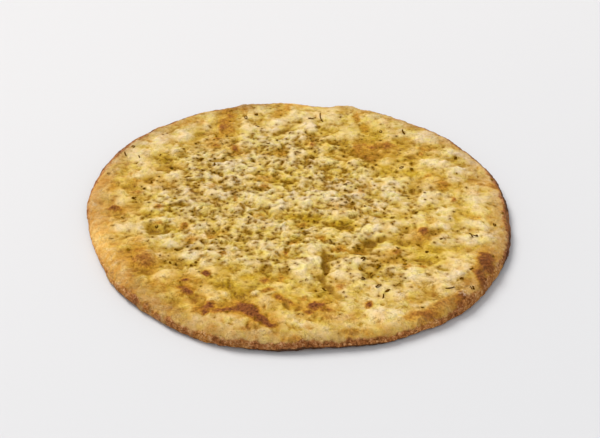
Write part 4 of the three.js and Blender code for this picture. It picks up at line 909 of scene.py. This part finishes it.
me = loaf.data
for name, values in dict(tone=tone, oil=oil * top, pale=pale * top, brown=brown * top, deep=deep_marks * top,
                         gold=gold * top, toast=toast * top, tan_rim=tan_rim, rust=rust, redness=redness,
                         char=char, under=under, ash=ash * top,
                         stain=stain * top, crumb=crumb * top, halo=halo * top,
                         buff=buff * top, shaded=2 * shaded + 0.1).items():
    put(me, name, np.clip(values, 0, 1))

# A map for baking: the top and rim rolled out as one disc, the underside as a smaller one.
flat = np.where(zone > 1.5, reach / 152.0 * 0.118, reach / 176.0 * 0.435)
centre = np.where(zone > 1.5, 0.865, 0.44)
uu, vv = centre + flat * np.cos(theta), centre + flat * np.sin(theta)
layer = me.uv_layers.new(name="OFBake", do_init=False)
loops = np.empty(len(me.loops), np.int32)
me.loops.foreach_get("vertex_index", loops)
uv = np.stack([uu[loops], vv[loops]], 1)
# the seam between the side and the underside lies on the last side ring
is_under_face = (zone[F] > 1.5).any(1)
lp = np.repeat(is_under_face, 3)
seam = lp & (zone[loops] < 1.5)
uv[seam, 0] = 0.865 + 0.128 * np.cos(theta[loops[seam]])
uv[seam, 1] = 0.865 + 0.128 * np.sin(theta[loops[seam]])
layer.uv.foreach_set("vector", uv.astype(np.float32).ravel())


# ---------------------------------------------------------------- materials
def srgb(r, g, b):
    def f(c):
        c /= 255.0
        return c / 12.92 if c <= 0.04045 else ((c + 0.055) / 1.055) ** 2.4

    return (f(r), f(g), f(b), 1.0)


class Nodes:
    def __init__(self, name):
        self.mat = bpy.data.materials.new(name)
        self.mat.use_nodes = True
        self.tree = self.mat.node_tree
        self.bsdf = next(n for n in self.tree.nodes if n.type == "BSDF_PRINCIPLED")
        self.coord = self.add("ShaderNodeTexCoord").outputs["Object"]

    def add(self, kind, **props):
        n = self.tree.nodes.new(kind)
        for k, v in props.items():
            setattr(n, k, v)
        return n

    def join(self, a, b):
        if hasattr(a, "is_output"):
            self.tree.links.new(a, b)
        else:
            b.default_value = a

    def attr(self, name):
        n = self.add("ShaderNodeAttribute", attribute_name=name)
        return n.outputs["Fac"]

    def math(self, op, a, b=None, clamp=False):
        n = self.add("ShaderNodeMath", operation=op, use_clamp=clamp)
        self.join(a, n.inputs[0])
        if b is not None:
            self.join(b, n.inputs[1])
        return n.outputs[0]

    def noise(self, size_mm, detail=3.0, rough=0.55, distort=0.0, stretch=None):
        vec = self.coord
        if stretch:
            m = self.add("ShaderNodeMapping")
            self.join(vec, m.inputs["Vector"])
            m.inputs["Scale"].default_value = stretch
            vec = m.outputs[0]
        n = self.add("ShaderNodeTexNoise")
        self.join(vec, n.inputs["Vector"])
        n.inputs["Scale"].default_value = 1000.0 / size_mm
        n.inputs["Detail"].default_value = detail
        n.inputs["Roughness"].default_value = rough
        n.inputs["Distortion"].default_value = distort
        return n.outputs["Fac"]

    def cells(self, size_mm, feature="F1"):
        n = self.add("ShaderNodeTexVoronoi", feature=feature)
        self.join(self.coord, n.inputs["Vector"])
        n.inputs["Scale"].default_value = 1000.0 / size_mm
        return n.outputs["Distance"]

    def span(self, v, a, b, lo=0.0, hi=1.0):
        n = self.add("ShaderNodeMapRange", interpolation_type="SMOOTHSTEP")
        self.join(v, n.inputs["Value"])
        n.inputs["From Min"].default_value = a
        n.inputs["From Max"].default_value = b
        n.inputs["To Min"].default_value = lo
        n.inputs["To Max"].default_value = hi
        return n.outputs["Result"]

    def mix(self, fac, a, b, blend="MIX"):
        n = self.add("ShaderNodeMix", data_type="RGBA", blend_type=blend)
        self.join(fac, n.inputs[0])
        self.join(a, n.inputs[6])
        self.join(b, n.inputs[7])
        return n.outputs[2]

    def ramp(self, fac, stops):
        n = self.add("ShaderNodeValToRGB")
        self.join(fac, n.inputs[0])
        el = n.color_ramp.elements
        while len(el) < len(stops):
            el.new(0.5)
        for e, (at, colour) in zip(el, stops):
            e.position = at
            e.color = colour
        return n.outputs[0]

    def bump(self, height, distance_mm, strength=1.0, under=None):
        n = self.add("ShaderNodeBump")
        n.inputs["Strength"].default_value = strength
        n.inputs["Distance"].default_value = distance_mm * MM
        self.join(height, n.inputs["Height"])
        if under is not None:
            self.join(under, n.inputs["Normal"])
        return n.outputs[0]


def crust_material():
    m = Nodes("baked_crust")
    (tone, oil, pale, brown, deep, gold, toast, tan_rim, rust, redness, char, under, ash, stain, crumb, halo, buff, shaded) = (m.attr(n) for n in (
        "tone", "oil", "pale", "brown", "deep", "gold", "toast", "tan_rim", "rust", "redness", "char", "under", "ash", "stain", "crumb", "halo", "buff", "shaded"))
    fine, grain, blotch = m.noise(1.7, 4, 0.62), m.noise(0.6, 3, 0.6), m.noise(6.0, 4, 0.6, 0.6)
    pores = m.cells(1.4)

    def around_half(v, k):
        return m.math("MULTIPLY", m.math("SUBTRACT", v, 0.5), k)

    def lines(size_mm, width, distort):
        """Thin winding lines, 1 along their middles."""
        n = m.noise(size_mm, 3, 0.6, distort)
        return m.span(m.math("ABSOLUTE", m.math("SUBTRACT", n, 0.5)), 0.0, width, 1.0, 0.0)

    # tone of the dough, broken up at the scale of its pores, with fine creases painted darker as shade and thin ridges
    # painted lighter as highlight
    crease_and_shade = m.math("MULTIPLY", lines(5.2, 0.040, 1.4), m.span(blotch, 0.42, 0.58, 0.25, 1.0))
    ridge_and_highlight = m.math("MULTIPLY", lines(3.4, 0.040, 1.0), m.span(m.noise(9.0, 3, 0.5), 0.40, 0.60, 0.2, 1.0))
    # lumps at two sizes, used in the bump, with thin creases between them that are painted darker as shade
    warp = m.add("ShaderNodeTexNoise")
    m.join(m.coord, warp.inputs["Vector"])
    warp.inputs["Scale"].default_value = 1000.0 / 4.0
    warp.inputs["Detail"].default_value = 3.0
    shift = m.add("ShaderNodeVectorMath", operation="MULTIPLY_ADD")
    m.join(warp.outputs["Color"], shift.inputs[0])
    shift.inputs[1].default_value = (0.0045, 0.0045, 0.0045)
    m.join(m.coord, shift.inputs[2])

    def lump(size_mm, feature):
        n = m.add("ShaderNodeTexVoronoi", feature=feature)
        m.join(shift.outputs[0], n.inputs["Vector"])
        n.inputs["Scale"].default_value = 1000.0 / size_mm
        return n.outputs["Distance"]

    d1, d2 = lump(5.4, "F1"), lump(2.9, "F1")
    lumps = m.math("ADD", m.math("MULTIPLY", m.math("MULTIPLY", d1, d1), -1.0), m.math("MULTIPLY", m.math("MULTIPLY", d2, d2), -0.25))
    open_crumb = m.span(crumb, 0.1, 0.9, 0.15, 1.0)
    seam_shade = m.math("MULTIPLY", m.span(lump(5.4, "DISTANCE_TO_EDGE"), 0.0, 0.09, 1.0, 0.0), m.math("MULTIPLY", open_crumb, m.span(blotch, 0.42, 0.60, 0.1, 1.0)))
    t = m.math("ADD", tone, m.math("MULTIPLY", around_half(fine, 0.26), m.span(crumb, 0.2, 0.8, 0.5, 1.0)))
    # painted shade along the creases between the lumps
    t = m.math("SUBTRACT", t, m.math("MULTIPLY", seam_shade, 0.26))
    t = m.math("ADD", t, m.math("MULTIPLY", around_half(blotch, 0.36), m.span(crumb, 0.2, 0.8, 0.5, 1.0)))
    # painted highlight on the thin ridges, painted shade in the fine creases; the same lines are bumped below
    t = m.math("ADD", t, m.math("SUBTRACT", m.math("MULTIPLY", ridge_and_highlight, 0.13), m.math("MULTIPLY", crease_and_shade, 0.17)), clamp=True)
    # the dark, deep-gold low ends of these ramps are partly the dough's own colour and partly painted shade in its
    # hollows
    dough = m.ramp(t, [(0.0, srgb(140, 94, 18)), (0.25, srgb(184, 143, 56)), (0.5, srgb(212, 179, 104)),
                       (0.75, srgb(222, 194, 134)), (1.0, srgb(225, 200, 151))])
    oily = m.ramp(t, [(0.0, srgb(136, 96, 8)), (0.25, srgb(180, 138, 20)), (0.55, srgb(212, 172, 46)), (1.0, srgb(236, 204, 96))])
    c = m.mix(m.math("ADD", m.math("MULTIPLY", oil, 0.6), m.math("MULTIPLY", gold, 0.6), clamp=True), dough, oily)
    # toasted zones are tanner, and darker where the tone is low
    toasted = m.ramp(t, [(0.0, srgb(136, 80, 20)), (0.3, srgb(182, 124, 40)), (0.6, srgb(214, 162, 74)), (1.0, srgb(238, 196, 122))])
    c = m.mix(m.math("MULTIPLY", toast, 0.7), c, toasted)
    # floury cream on what stands proud
    cream = m.mix(fine, srgb(213, 187, 130), srgb(221, 198, 146))
    p = m.math("MULTIPLY", pale, m.span(m.math("ADD", fine, m.math("MULTIPLY", blotch, 0.6)), 0.5, 1.0), clamp=True)
    c = m.mix(m.math("MULTIPLY", p, 0.34), c, cream)
    # the bake isn't one hue: yellower and pinker by turns
    hue = m.noise(7.0, 3, 0.6, 0.6)
    c = m.mix(1.0, c, m.ramp(hue, [(0.36, (1.0, 1.03, 0.74, 1)), (0.50, (1, 1, 1, 1)), (0.62, (1.015, 0.98, 1.05, 1))]), "MULTIPLY")
    # browned blisters
    less_yellow = m.mix(1.0, c, m.ramp(blotch, [(0.4, (0.985, 1.02, 1.30, 1)), (0.6, (1.0, 1.03, 1.42, 1))]), "MULTIPLY")
    c = m.mix(m.math("MULTIPLY", buff, 0.8), c, less_yellow)
    fine_wide = m.span(fine, 0.36, 0.64)
    patchy = m.noise(4.2, 4, 0.62, 0.9)
    scorched = m.ramp(m.math("ADD", t, around_half(patchy, 0.5)), [(0.15, srgb(166, 110, 16)), (0.5, srgb(206, 154, 48)), (0.85, srgb(230, 188, 96))])
    c = m.mix(m.span(m.math("ADD", halo, around_half(patchy, 0.7)), 0.10, 1.05, 0.0, 0.8), c, scorched)
    b = m.math("ADD", brown, around_half(patchy, 0.75))
    c = m.mix(m.span(b, 0.08, 0.50, 0.0, 0.75), c, m.mix(fine_wide, srgb(166, 112, 18), srgb(204, 148, 44)))
    c = m.mix(m.span(b, 0.32, 0.76, 0.0, 0.85), c, m.mix(fine_wide, srgb(134, 80, 16), srgb(174, 110, 34)))
    c = m.mix(m.span(b, 0.58, 0.98, 0.0, 0.9), c, m.mix(fine_wide, srgb(90, 42, 18), srgb(138, 76, 34)))
    # creases are darker: partly the oil they hold, partly painted shade
    c = m.mix(m.math("MULTIPLY", deep, m.span(fine, 0.35, 0.7, 0.35, 0.8)), c, srgb(120, 82, 14))
    # the rim: golden tan, then rust, then a charred lower edge
    streak = m.noise(2.2, 4, 0.66, 1.0)
    golden = m.ramp(m.math("ADD", m.math("MULTIPLY", streak, 0.35), m.math("MULTIPLY", blotch, 0.65)),
                    [(0.36, srgb(186, 118, 40)), (0.45, srgb(212, 150, 66)), (0.54, srgb(228, 176, 96)), (0.64, srgb(240, 202, 136))])
    c = m.mix(m.math("MULTIPLY", tan_rim, m.span(m.math("ADD", t, around_half(streak, 0.25)), 0.1, 0.9, 0.9, 0.25)), c, golden)
    rough_streak = m.math("ADD", m.math("MULTIPLY", streak, 0.7), m.math("ADD", m.math("MULTIPLY", grain, 0.12), m.math("MULTIPLY", blotch, 0.18)))
    orange = m.ramp(rough_streak, [(0.36, srgb(160, 88, 24)), (0.45, srgb(204, 132, 50)), (0.54, srgb(230, 168, 84)), (0.64, srgb(246, 202, 132))])
    russet = m.ramp(rough_streak, [(0.37, srgb(74, 32, 12)), (0.45, srgb(134, 72, 30)), (0.53, srgb(178, 108, 54)), (0.62, srgb(222, 166, 106))])
    side = m.mix(m.span(redness, 0.1, 0.95), orange, russet)
    r = m.math("ADD", rust, around_half(rough_streak, 1.1))
    c = m.mix(m.span(r, 0.25, 0.9, 0.0, 0.95), c, side)
    k = m.math("ADD", char, around_half(rough_streak, 0.9))
    c = m.mix(m.span(k, 0.3, 0.85, 0.0, 0.92), c, m.mix(grain, srgb(44, 28, 18), srgb(98, 68, 44)))
    # the bake deepens all the way out to the edge
    darken = m.math("MULTIPLY", m.math("SUBTRACT", shaded, 0.1), 0.5)
    tint = m.add("ShaderNodeCombineColor")
    for i, (most, k) in enumerate(((1.02, 1.9), (1.075, 2.3), (1.245, 2.1))):
        m.join(m.math("SUBTRACT", most, m.math("MULTIPLY", darken, k)), tint.inputs[i])
    c = m.mix(1.0, c, tint.outputs[0], "MULTIPLY")
    # ashy bloom on scorched blisters
    c = m.mix(m.math("MULTIPLY", ash, m.span(fine, 0.42, 0.6, 0.0, 0.8)), c, srgb(208, 176, 148))
    # underside: browned in patches under a dusting of flour
    base = m.ramp(m.noise(16.0, 5, 0.6, 0.7), [(0.3, srgb(204, 150, 84)), (0.5, srgb(184, 124, 60)), (0.62, srgb(134, 82, 38)), (0.74, srgb(88, 54, 28))])
    flour = m.span(m.math("ADD", m.noise(5.0, 5, 0.7), m.math("MULTIPLY", m.noise(0.9, 3, 0.6), 0.4)), 0.66, 0.9, 0.0, 0.75)
    base = m.mix(flour, base, srgb(226, 204, 168))
    scorch = m.math("MULTIPLY", m.span(m.cells(11.0), 0.06, 0.30, 0.75, 0.0), m.span(blotch, 0.4, 0.6))
    base = m.mix(scorch, base, srgb(62, 40, 22))
    c = m.mix(under, c, base)
    # herb and oil stain the crust around each flake
    c = m.mix(m.math("MULTIPLY", stain, 0.80, True), c, srgb(136, 94, 4))
    # small pores painted darker as shade in them, and grain that only darkens or lightens
    c = m.mix(m.math("MULTIPLY", m.span(pores, 0.05, 0.32, 1.0, 0.0), m.span(blotch, 0.44, 0.6, 0.0, 0.7)), c, srgb(124, 86, 24))
    speckle = m.math("ADD", around_half(grain, 0.85), around_half(fine, 0.55))
    g = m.math("ADD", 1.0, m.math("MULTIPLY", speckle, m.span(m.math("MAXIMUM", rust, m.math("MULTIPLY", crumb, 0.3)), 0.0, 0.9, 0.10, 1.0)))
    shade = m.add("ShaderNodeCombineColor")
    for i in range(3):
        m.join(g, shade.inputs[i])
    c = m.mix(1.0, c, shade.outputs[0], "MULTIPLY")
    m.join(c, m.bsdf.inputs["Base Color"])

    # oil makes the crust shine, flour and char make it dull
    rough = m.math("SUBTRACT", m.math("ADD", 0.62, around_half(grain, 0.25)), m.math("MULTIPLY", oil, 0.24))
    rough = m.math("ADD", rough, m.math("MULTIPLY", p, 0.12), clamp=True)
    m.join(rough, m.bsdf.inputs["Roughness"])
    wet = m.span(m.math("ADD", m.math("MAXIMUM", oil, m.math("MULTIPLY", gold, 0.7)), around_half(fine, 0.7)), 0.4, 1.0, 0.0, 0.05)
    m.join(wet, m.bsdf.inputs["Coat Weight"])
    m.bsdf.inputs["Coat Roughness"].default_value = 0.3
    m.bsdf.inputs["Specular IOR Level"].default_value = 0.04

    # skin texture: open grain on the dough, fine wrinkles on the rim
    h = m.math("ADD", m.math("MULTIPLY", fine, 0.42), m.math("MULTIPLY", grain, 0.10))
    h = m.math("ADD", h, m.math("MULTIPLY", lumps, m.math("MULTIPLY", open_crumb, m.span(m.noise(12.0, 2, 0.5), 0.38, 0.62, 0.7, 1.5))))
    h = m.math("MULTIPLY", h, m.span(m.math("MAXIMUM", crumb, rust), 0.0, 0.7, 0.5, 1.0))
    h = m.math("SUBTRACT", h, m.math("MULTIPLY", m.span(pores, 0.0, 0.35, 1.0, 0.0), 0.25))
    h = m.math("ADD", h, m.math("SUBTRACT", m.math("MULTIPLY", ridge_and_highlight, 0.13), m.math("MULTIPLY", crease_and_shade, 0.16)))
    n1 = m.bump(h, 1.5, 1.0)
    n2 = m.bump(m.math("MULTIPLY", streak, m.math("MAXIMUM", rust, m.math("MULTIPLY", tan_rim, 0.6))), 1.1, 0.9, n1)
    m.join(n2, m.bsdf.inputs["Normal"])
    return m.mat


crust = crust_material()
me.materials.append(crust)
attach(loaf, "root")
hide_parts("loaf")


def herb_material():
    m = Nodes("dried_oregano")
    shade = m.attr("shade")
    vein = m.attr("vein")
    fine = m.noise(0.7, 3, 0.6)
    t = m.math("ADD", shade, m.math("MULTIPLY", m.math("SUBTRACT", fine, 0.5), 0.5), clamp=True)
    c = m.ramp(t, [(0.0, srgb(62, 34, 0)), (0.35, srgb(96, 58, 0)), (0.65, srgb(134, 92, 3)), (1.0, srgb(168, 124, 14))])
    c = m.mix(m.math("MULTIPLY", vein, 0.35), c, srgb(132, 98, 24))
    m.join(c, m.bsdf.inputs["Base Color"])
    m.join(m.span(fine, 0.3, 0.7, 0.55, 0.85), m.bsdf.inputs["Roughness"])
    m.bsdf.inputs["Specular IOR Level"].default_value = 0.0
    m.join(m.bump(m.noise(0.35, 3, 0.6), 0.12, 0.8), m.bsdf.inputs["Normal"])
    return m.mat


herb = herb_material()


# ---------------------------------------------------------------- herbs
def leaf_mesh(length, width, rng, across=4, along=7, thick=0.22, curl=0.5):
    """A dried leaf bit: a thin closed blade, creased along its middle, curled and ragged. Local x along, z up."""
    us = np.linspace(-1, 1, along)
    vs = np.linspace(-1, 1, across + 1)
    tip = rng.uniform(0.75, 1.0)
    cut = rng.uniform(0.35, 0.8)
    w = np.where(us < 0, np.sqrt(np.maximum(0, 1 - (1 - cut) * (-us) ** 2.2)), np.maximum(0, 1 - us ** 2 * tip) ** 0.75)
    w = np.maximum(w * (1 + rng.uniform(-0.16, 0.16, along)), 0.10)
    bend, twist = rng.uniform(-curl, curl), rng.uniform(-0.5, 0.5)
    fold = rng.uniform(0.15, 0.6) * rng.choice([-1, 1], p=[0.35, 0.65])
    X = np.empty((along, across + 1, 3))
    for i, u in enumerate(us):
        ragged = rng.uniform(-0.09, 0.09, across + 1)
        yy = vs * w[i] * width / 2 * (1 + ragged)
        xx = u * length / 2 + ragged * 0.5 + 0.12 * length * bend * vs * vs
        zz = fold * np.abs(vs) * w[i] * width / 2 + bend * 0.32 * length * (u * u - 0.3) * 0.5
        a = twist * u
        X[i, :, 0] = xx
        X[i, :, 1] = yy * math.cos(a) - zz * math.sin(a)
        X[i, :, 2] = yy * math.sin(a) + zz * math.cos(a)
    return X, thick, vs


def solid_from_grid(X, thick, vein_at):
    """Closes a grid of points into a thin solid. Returns vertices, quads and vein strength."""
    n, m = X.shape[:2]
    du = np.gradient(X, axis=0)
    dv = np.gradient(X, axis=1)
    nrm = np.cross(du, dv)
    nrm /= np.maximum(np.linalg.norm(nrm, axis=2, keepdims=True), 1e-9)
    rim = np.ones((n, m))
    rim[0, :] = rim[-1, :] = rim[:, 0] = rim[:, -1] = 0.35
    up = X + nrm * (thick / 2 * rim)[..., None]
    dn = X - nrm * (thick / 2 * rim)[..., None]
    verts = np.concatenate([up.reshape(-1, 3), dn.reshape(-1, 3)])
    ids = np.arange(n * m).reshape(n, m)
    k = n * m
    q = []
    for i in range(n - 1):
        for j in range(m - 1):
            a, b, c, d = ids[i, j], ids[i + 1, j], ids[i + 1, j + 1], ids[i, j + 1]
            q.append((a, b, c, d))
            q.append((a + k, d + k, c + k, b + k))
    loop = list(ids[:, 0]) + list(ids[-1, 1:]) + list(ids[::-1, -1][1:]) + list(ids[0, ::-1][1:-1])
    for a, b in zip(loop, loop[1:] + loop[:1]):
        q.append((b, a, a + k, b + k))
    vein = np.tile(np.broadcast_to(vein_at, (n, m)).reshape(-1), 2)
    return verts, np.array(q, np.int32), vein


def stem_grid(length, width, rng, sides=6, along=9):
    us = np.linspace(-1, 1, along)
    bend, bend2 = rng.uniform(-0.10, 0.10), rng.uniform(-0.05, 0.05)
    verts, quads = [], []
    for i, u in enumerate(us):
        r = width / 2 * (0.75 + 0.25 * math.cos(u * 1.2)) * rng.uniform(0.85, 1.12)
        for k in range(sides):
            a = TAU * k / sides
            verts.append((u * length / 2, bend * length * (u * u - 0.4) + r * math.cos(a), abs(bend2) * length * u * u * 0.6 + r * 0.8 * math.sin(a)))
    for i in range(along - 1):
        for k in range(sides):
            a, b = i * sides + k, i * sides + (k + 1) % sides
            quads.append((a, b, b + sides, a + sides))
    n = len(verts)
    verts.append((-length / 2 - 0.1, bend * length * 0.6, abs(bend2) * length * 0.6))
    verts.append((length / 2 + 0.1, bend * length * 0.6, abs(bend2) * length * 0.6))
    tris = []
    for k in range(sides):
        tris.append((n, (k + 1) % sides, k))
        e = (along - 1) * sides
        tris.append((n + 1, e + k, e + (k + 1) % sides))
    return np.array(verts), quads, tris


def quads_to_tris(q):
    q = np.asarray(q)
    return np.concatenate([q[:, [0, 1, 2]], q[:, [0, 2, 3]]])


def outward(verts, tris):
    a, b, c = (verts[tris[:, i]] for i in range(3))
    return tris if float((a * np.cross(b, c)).sum()) > 0 else tris[:, ::-1]


def placed(verts, px, py, turn, tilt_rng, sink):
    """Lays local vertices on the crust at px, py, turned, following its slope."""
    z0, sx, sy = surface_height(np.array([float(px)]), np.array([float(py)]))
    a = math.radians(turn)
    along = np.array([math.cos(a), math.sin(a), sx[0] * math.cos(a) + sy[0] * math.sin(a)])
    along /= np.linalg.norm(along)
    side = np.array([-math.sin(a), math.cos(a), -sx[0] * math.sin(a) + sy[0] * math.cos(a)])
    up = np.cross(along, side)
    up /= np.linalg.norm(up)
    side = np.cross(up, along)
    out = verts[:, :1] * along + verts[:, 1:2] * side + verts[:, 2:3] * up
    out = out + [px, py, z0[0]]
    # rest it on the crust: most of it just clear, its lowest bit pressed in
    zs, _, _ = surface_height(out[:, 0], out[:, 1])
    gap = out[:, 2] - zs
    out[:, 2] -= np.quantile(gap, 0.25) + sink
    return out


def leaf_solid(length, width, rng, **kw):
    X, thick, vs = leaf_mesh(length, width, rng, **kw)
    vein = np.maximum(0, 1 - np.abs(vs) * 3.0)
    verts, q, v = solid_from_grid(X, thick, vein[None, :])
    return verts, outward(verts, quads_to_tris(q)), v


def stem_solid(length, width, rng, **kw):
    verts, q, t = stem_grid(length, width, rng, **kw)
    tris = np.concatenate([quads_to_tris(q), np.array(t)])
    return verts, outward(verts, tris), np.full(len(verts), 0.25)


def sprig_solid(length, width, rng):
    """A bit of stem that forks into two short ends, one with a leaf scrap."""
    parts = []
    for (ax, ay, bx, by), w in [((-0.5, 0, 0.08, 0), width), ((0.05, 0, 0.5, 0.24), 0.85 * width), ((0.02, 0, 0.46, -0.2), 0.8 * width)]:
        L = math.hypot(bx - ax, by - ay) * length
        v, f, s = stem_solid(L, w, rng)
        a = math.atan2(by - ay, bx - ax)
        r = np.array([[math.cos(a), math.sin(a), 0], [-math.sin(a), math.cos(a), 0], [0, 0, 1]])
        parts.append((v @ r + [(ax + bx) / 2 * length, (ay + by) / 2 * length, 0], f, s))
    v, f, s = leaf_solid(length * 0.34, length * 0.24, rng)
    parts.append((v + [0.47 * length, 0.2 * length, 0.1], f, s))
    return merged(parts)


def merged(parts):
    vs, fs, ss, at = [], [], [], 0
    for v, f, s in parts:
        vs.append(v)
        fs.append(np.asarray(f) + at)
        ss.append(s)
        at += len(v)
    return np.concatenate(vs), np.concatenate(fs), np.concatenate(ss)


def herb_object(name, verts, tris, vein, shade):
    ob = new_mesh(name, (verts - CENTRE) * MM, tris)
    put(ob.data, "shade", shade)
    put(ob.data, "vein", vein)
    ob.data.materials.append(herb)
    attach(ob, "root")
    return ob


for i, (node, kind, px, py, length, width, turn) in enumerate(HERBS):
    rng = np.random.default_rng(100 + i)
    if kind == "S":
        v, f, s = stem_solid(length, width, rng)
    elif kind == "Y":
        v, f, s = sprig_solid(length, width, rng)
    else:
        v, f, s = leaf_solid(length, width, rng, across=6, along=10)
    v = placed(v, px, py, turn, rng, 0.05)
    ob = herb_object(node.replace("oregano_", "dried_"), v, f, s, np.full(len(v), rng.uniform(0.02, 0.30)))
    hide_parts(node)


rng = np.random.default_rng(11)
parts, shades = [], []
for px, py in spots:
    roll = rng.random()
    if roll < 0.08:
        v, f, s = stem_solid(rng.uniform(1.6, 4.2), rng.uniform(0.28, 0.5), rng, sides=5, along=4)
    else:
        L = float(np.clip(rng.lognormal(-0.06, 0.46), 0.45, 3.0))
        v, f, s = leaf_solid(L, L * rng.uniform(0.6, 1.0), rng, across=2, along=4, thick=0.16)
    v = placed(v, px, py, rng.uniform(0, 360), rng, 0.04)
    parts.append((v, f, s))
    shades.append(np.full(len(v), float(np.clip(rng.normal(0.34, 0.26), 0, 1))))
v, f, s = merged(parts)
herb_object("oregano_flakes", v, f, s, np.concatenate(shades))

# ---------------------------------------------------------------- stage, camera, light
floor = new_mesh("floor", np.array([(-40, -40, 0), (40, -40, 0), (40, 40, 0), (-40, 40, 0)]), np.array([(0, 1, 2, 3)]), False)
fm = Nodes("pale_floor")
floor_shade_axis = fm.add("ShaderNodeVectorMath", operation="DOT_PRODUCT")
fm.join(fm.coord, floor_shade_axis.inputs[0])
floor_shade_axis.inputs[1].default_value = (0.55, -0.83, 0)
# painted shade: the floor's colour darkens towards the front right
fm.join(fm.mix(fm.span(floor_shade_axis.outputs["Value"], -0.45, 0.45), (0.625, 0.615, 0.614, 1), (0.568, 0.568, 0.576, 1)), fm.bsdf.inputs["Base Color"])
fm.bsdf.inputs["Roughness"].default_value = 0.7
fm.bsdf.inputs["Specular IOR Level"].default_value = 0.2
floor.data.materials.append(fm.mat)

camera = bpy.data.objects.new("camera", bpy.data.cameras.new("camera"))
bpy.context.scene.collection.objects.link(camera)
camera.data.lens = 85
camera.data.sensor_width = 36
camera.data.clip_end = 50
lift = math.radians(34.94)
camera.location = (0.0022, -0.0088 - 0.9977 * math.cos(lift), 0.005 + 0.9977 * math.sin(lift))
camera.rotation_euler = (math.pi / 2 - lift, 0, 0)
bpy.context.scene.camera = camera

# a large soft key from behind on the left, even over the whole floor
sun = bpy.data.lights.new("key", "SUN")
sun.energy = 3.14
sun.angle = math.radians(33)
sun.color = (1.0, 0.992, 0.975)
key = bpy.data.objects.new("key", sun)
bpy.context.scene.collection.objects.link(key)
key.rotation_euler = (Vector((1.95, -2.3, -3.25))).to_track_quat("-Z", "Y").to_euler()

# a wide, weak fill from the front, as a white wall gives
bounce = bpy.data.lights.new("fill", "SUN")
bounce.energy = 0.6
bounce.angle = math.radians(80)
fill = bpy.data.objects.new("fill", bounce)
bpy.context.scene.collection.objects.link(fill)
fill.rotation_euler = (Vector((-0.4, 2.6, -1.5))).to_track_quat("-Z", "Y").to_euler()

world = bpy.data.worlds.new("studio")
bpy.context.scene.world = world
world.use_nodes = True
tree = world.node_tree
bg = tree.nodes["Background"]
# a white studio: bright at the height of the horizon, dimmer overhead
direction = tree.nodes.new("ShaderNodeTexCoord")
axes = tree.nodes.new("ShaderNodeSeparateXYZ")
glow = tree.nodes.new("ShaderNodeValToRGB")
tree.links.new(direction.outputs["Generated"], axes.inputs[0])
tree.links.new(axes.outputs["Z"], glow.inputs[0])
tree.links.new(glow.outputs[0], bg.inputs[0])
stops = glow.color_ramp.elements
stops[0].position, stops[0].color = 0.03, (0.90, 0.90, 0.905, 1)
stops[1].position, stops[1].color = 0.40, (0.56, 0.565, 0.58, 1)
bg.inputs[1].default_value = 1.0
bpy.context.scene.view_settings.view_transform = "Standard"
bpy.context.scene.view_settings.look = "None"
bpy.context.scene.view_settings.exposure = 0
bpy.context.scene.view_settings.gamma = 1
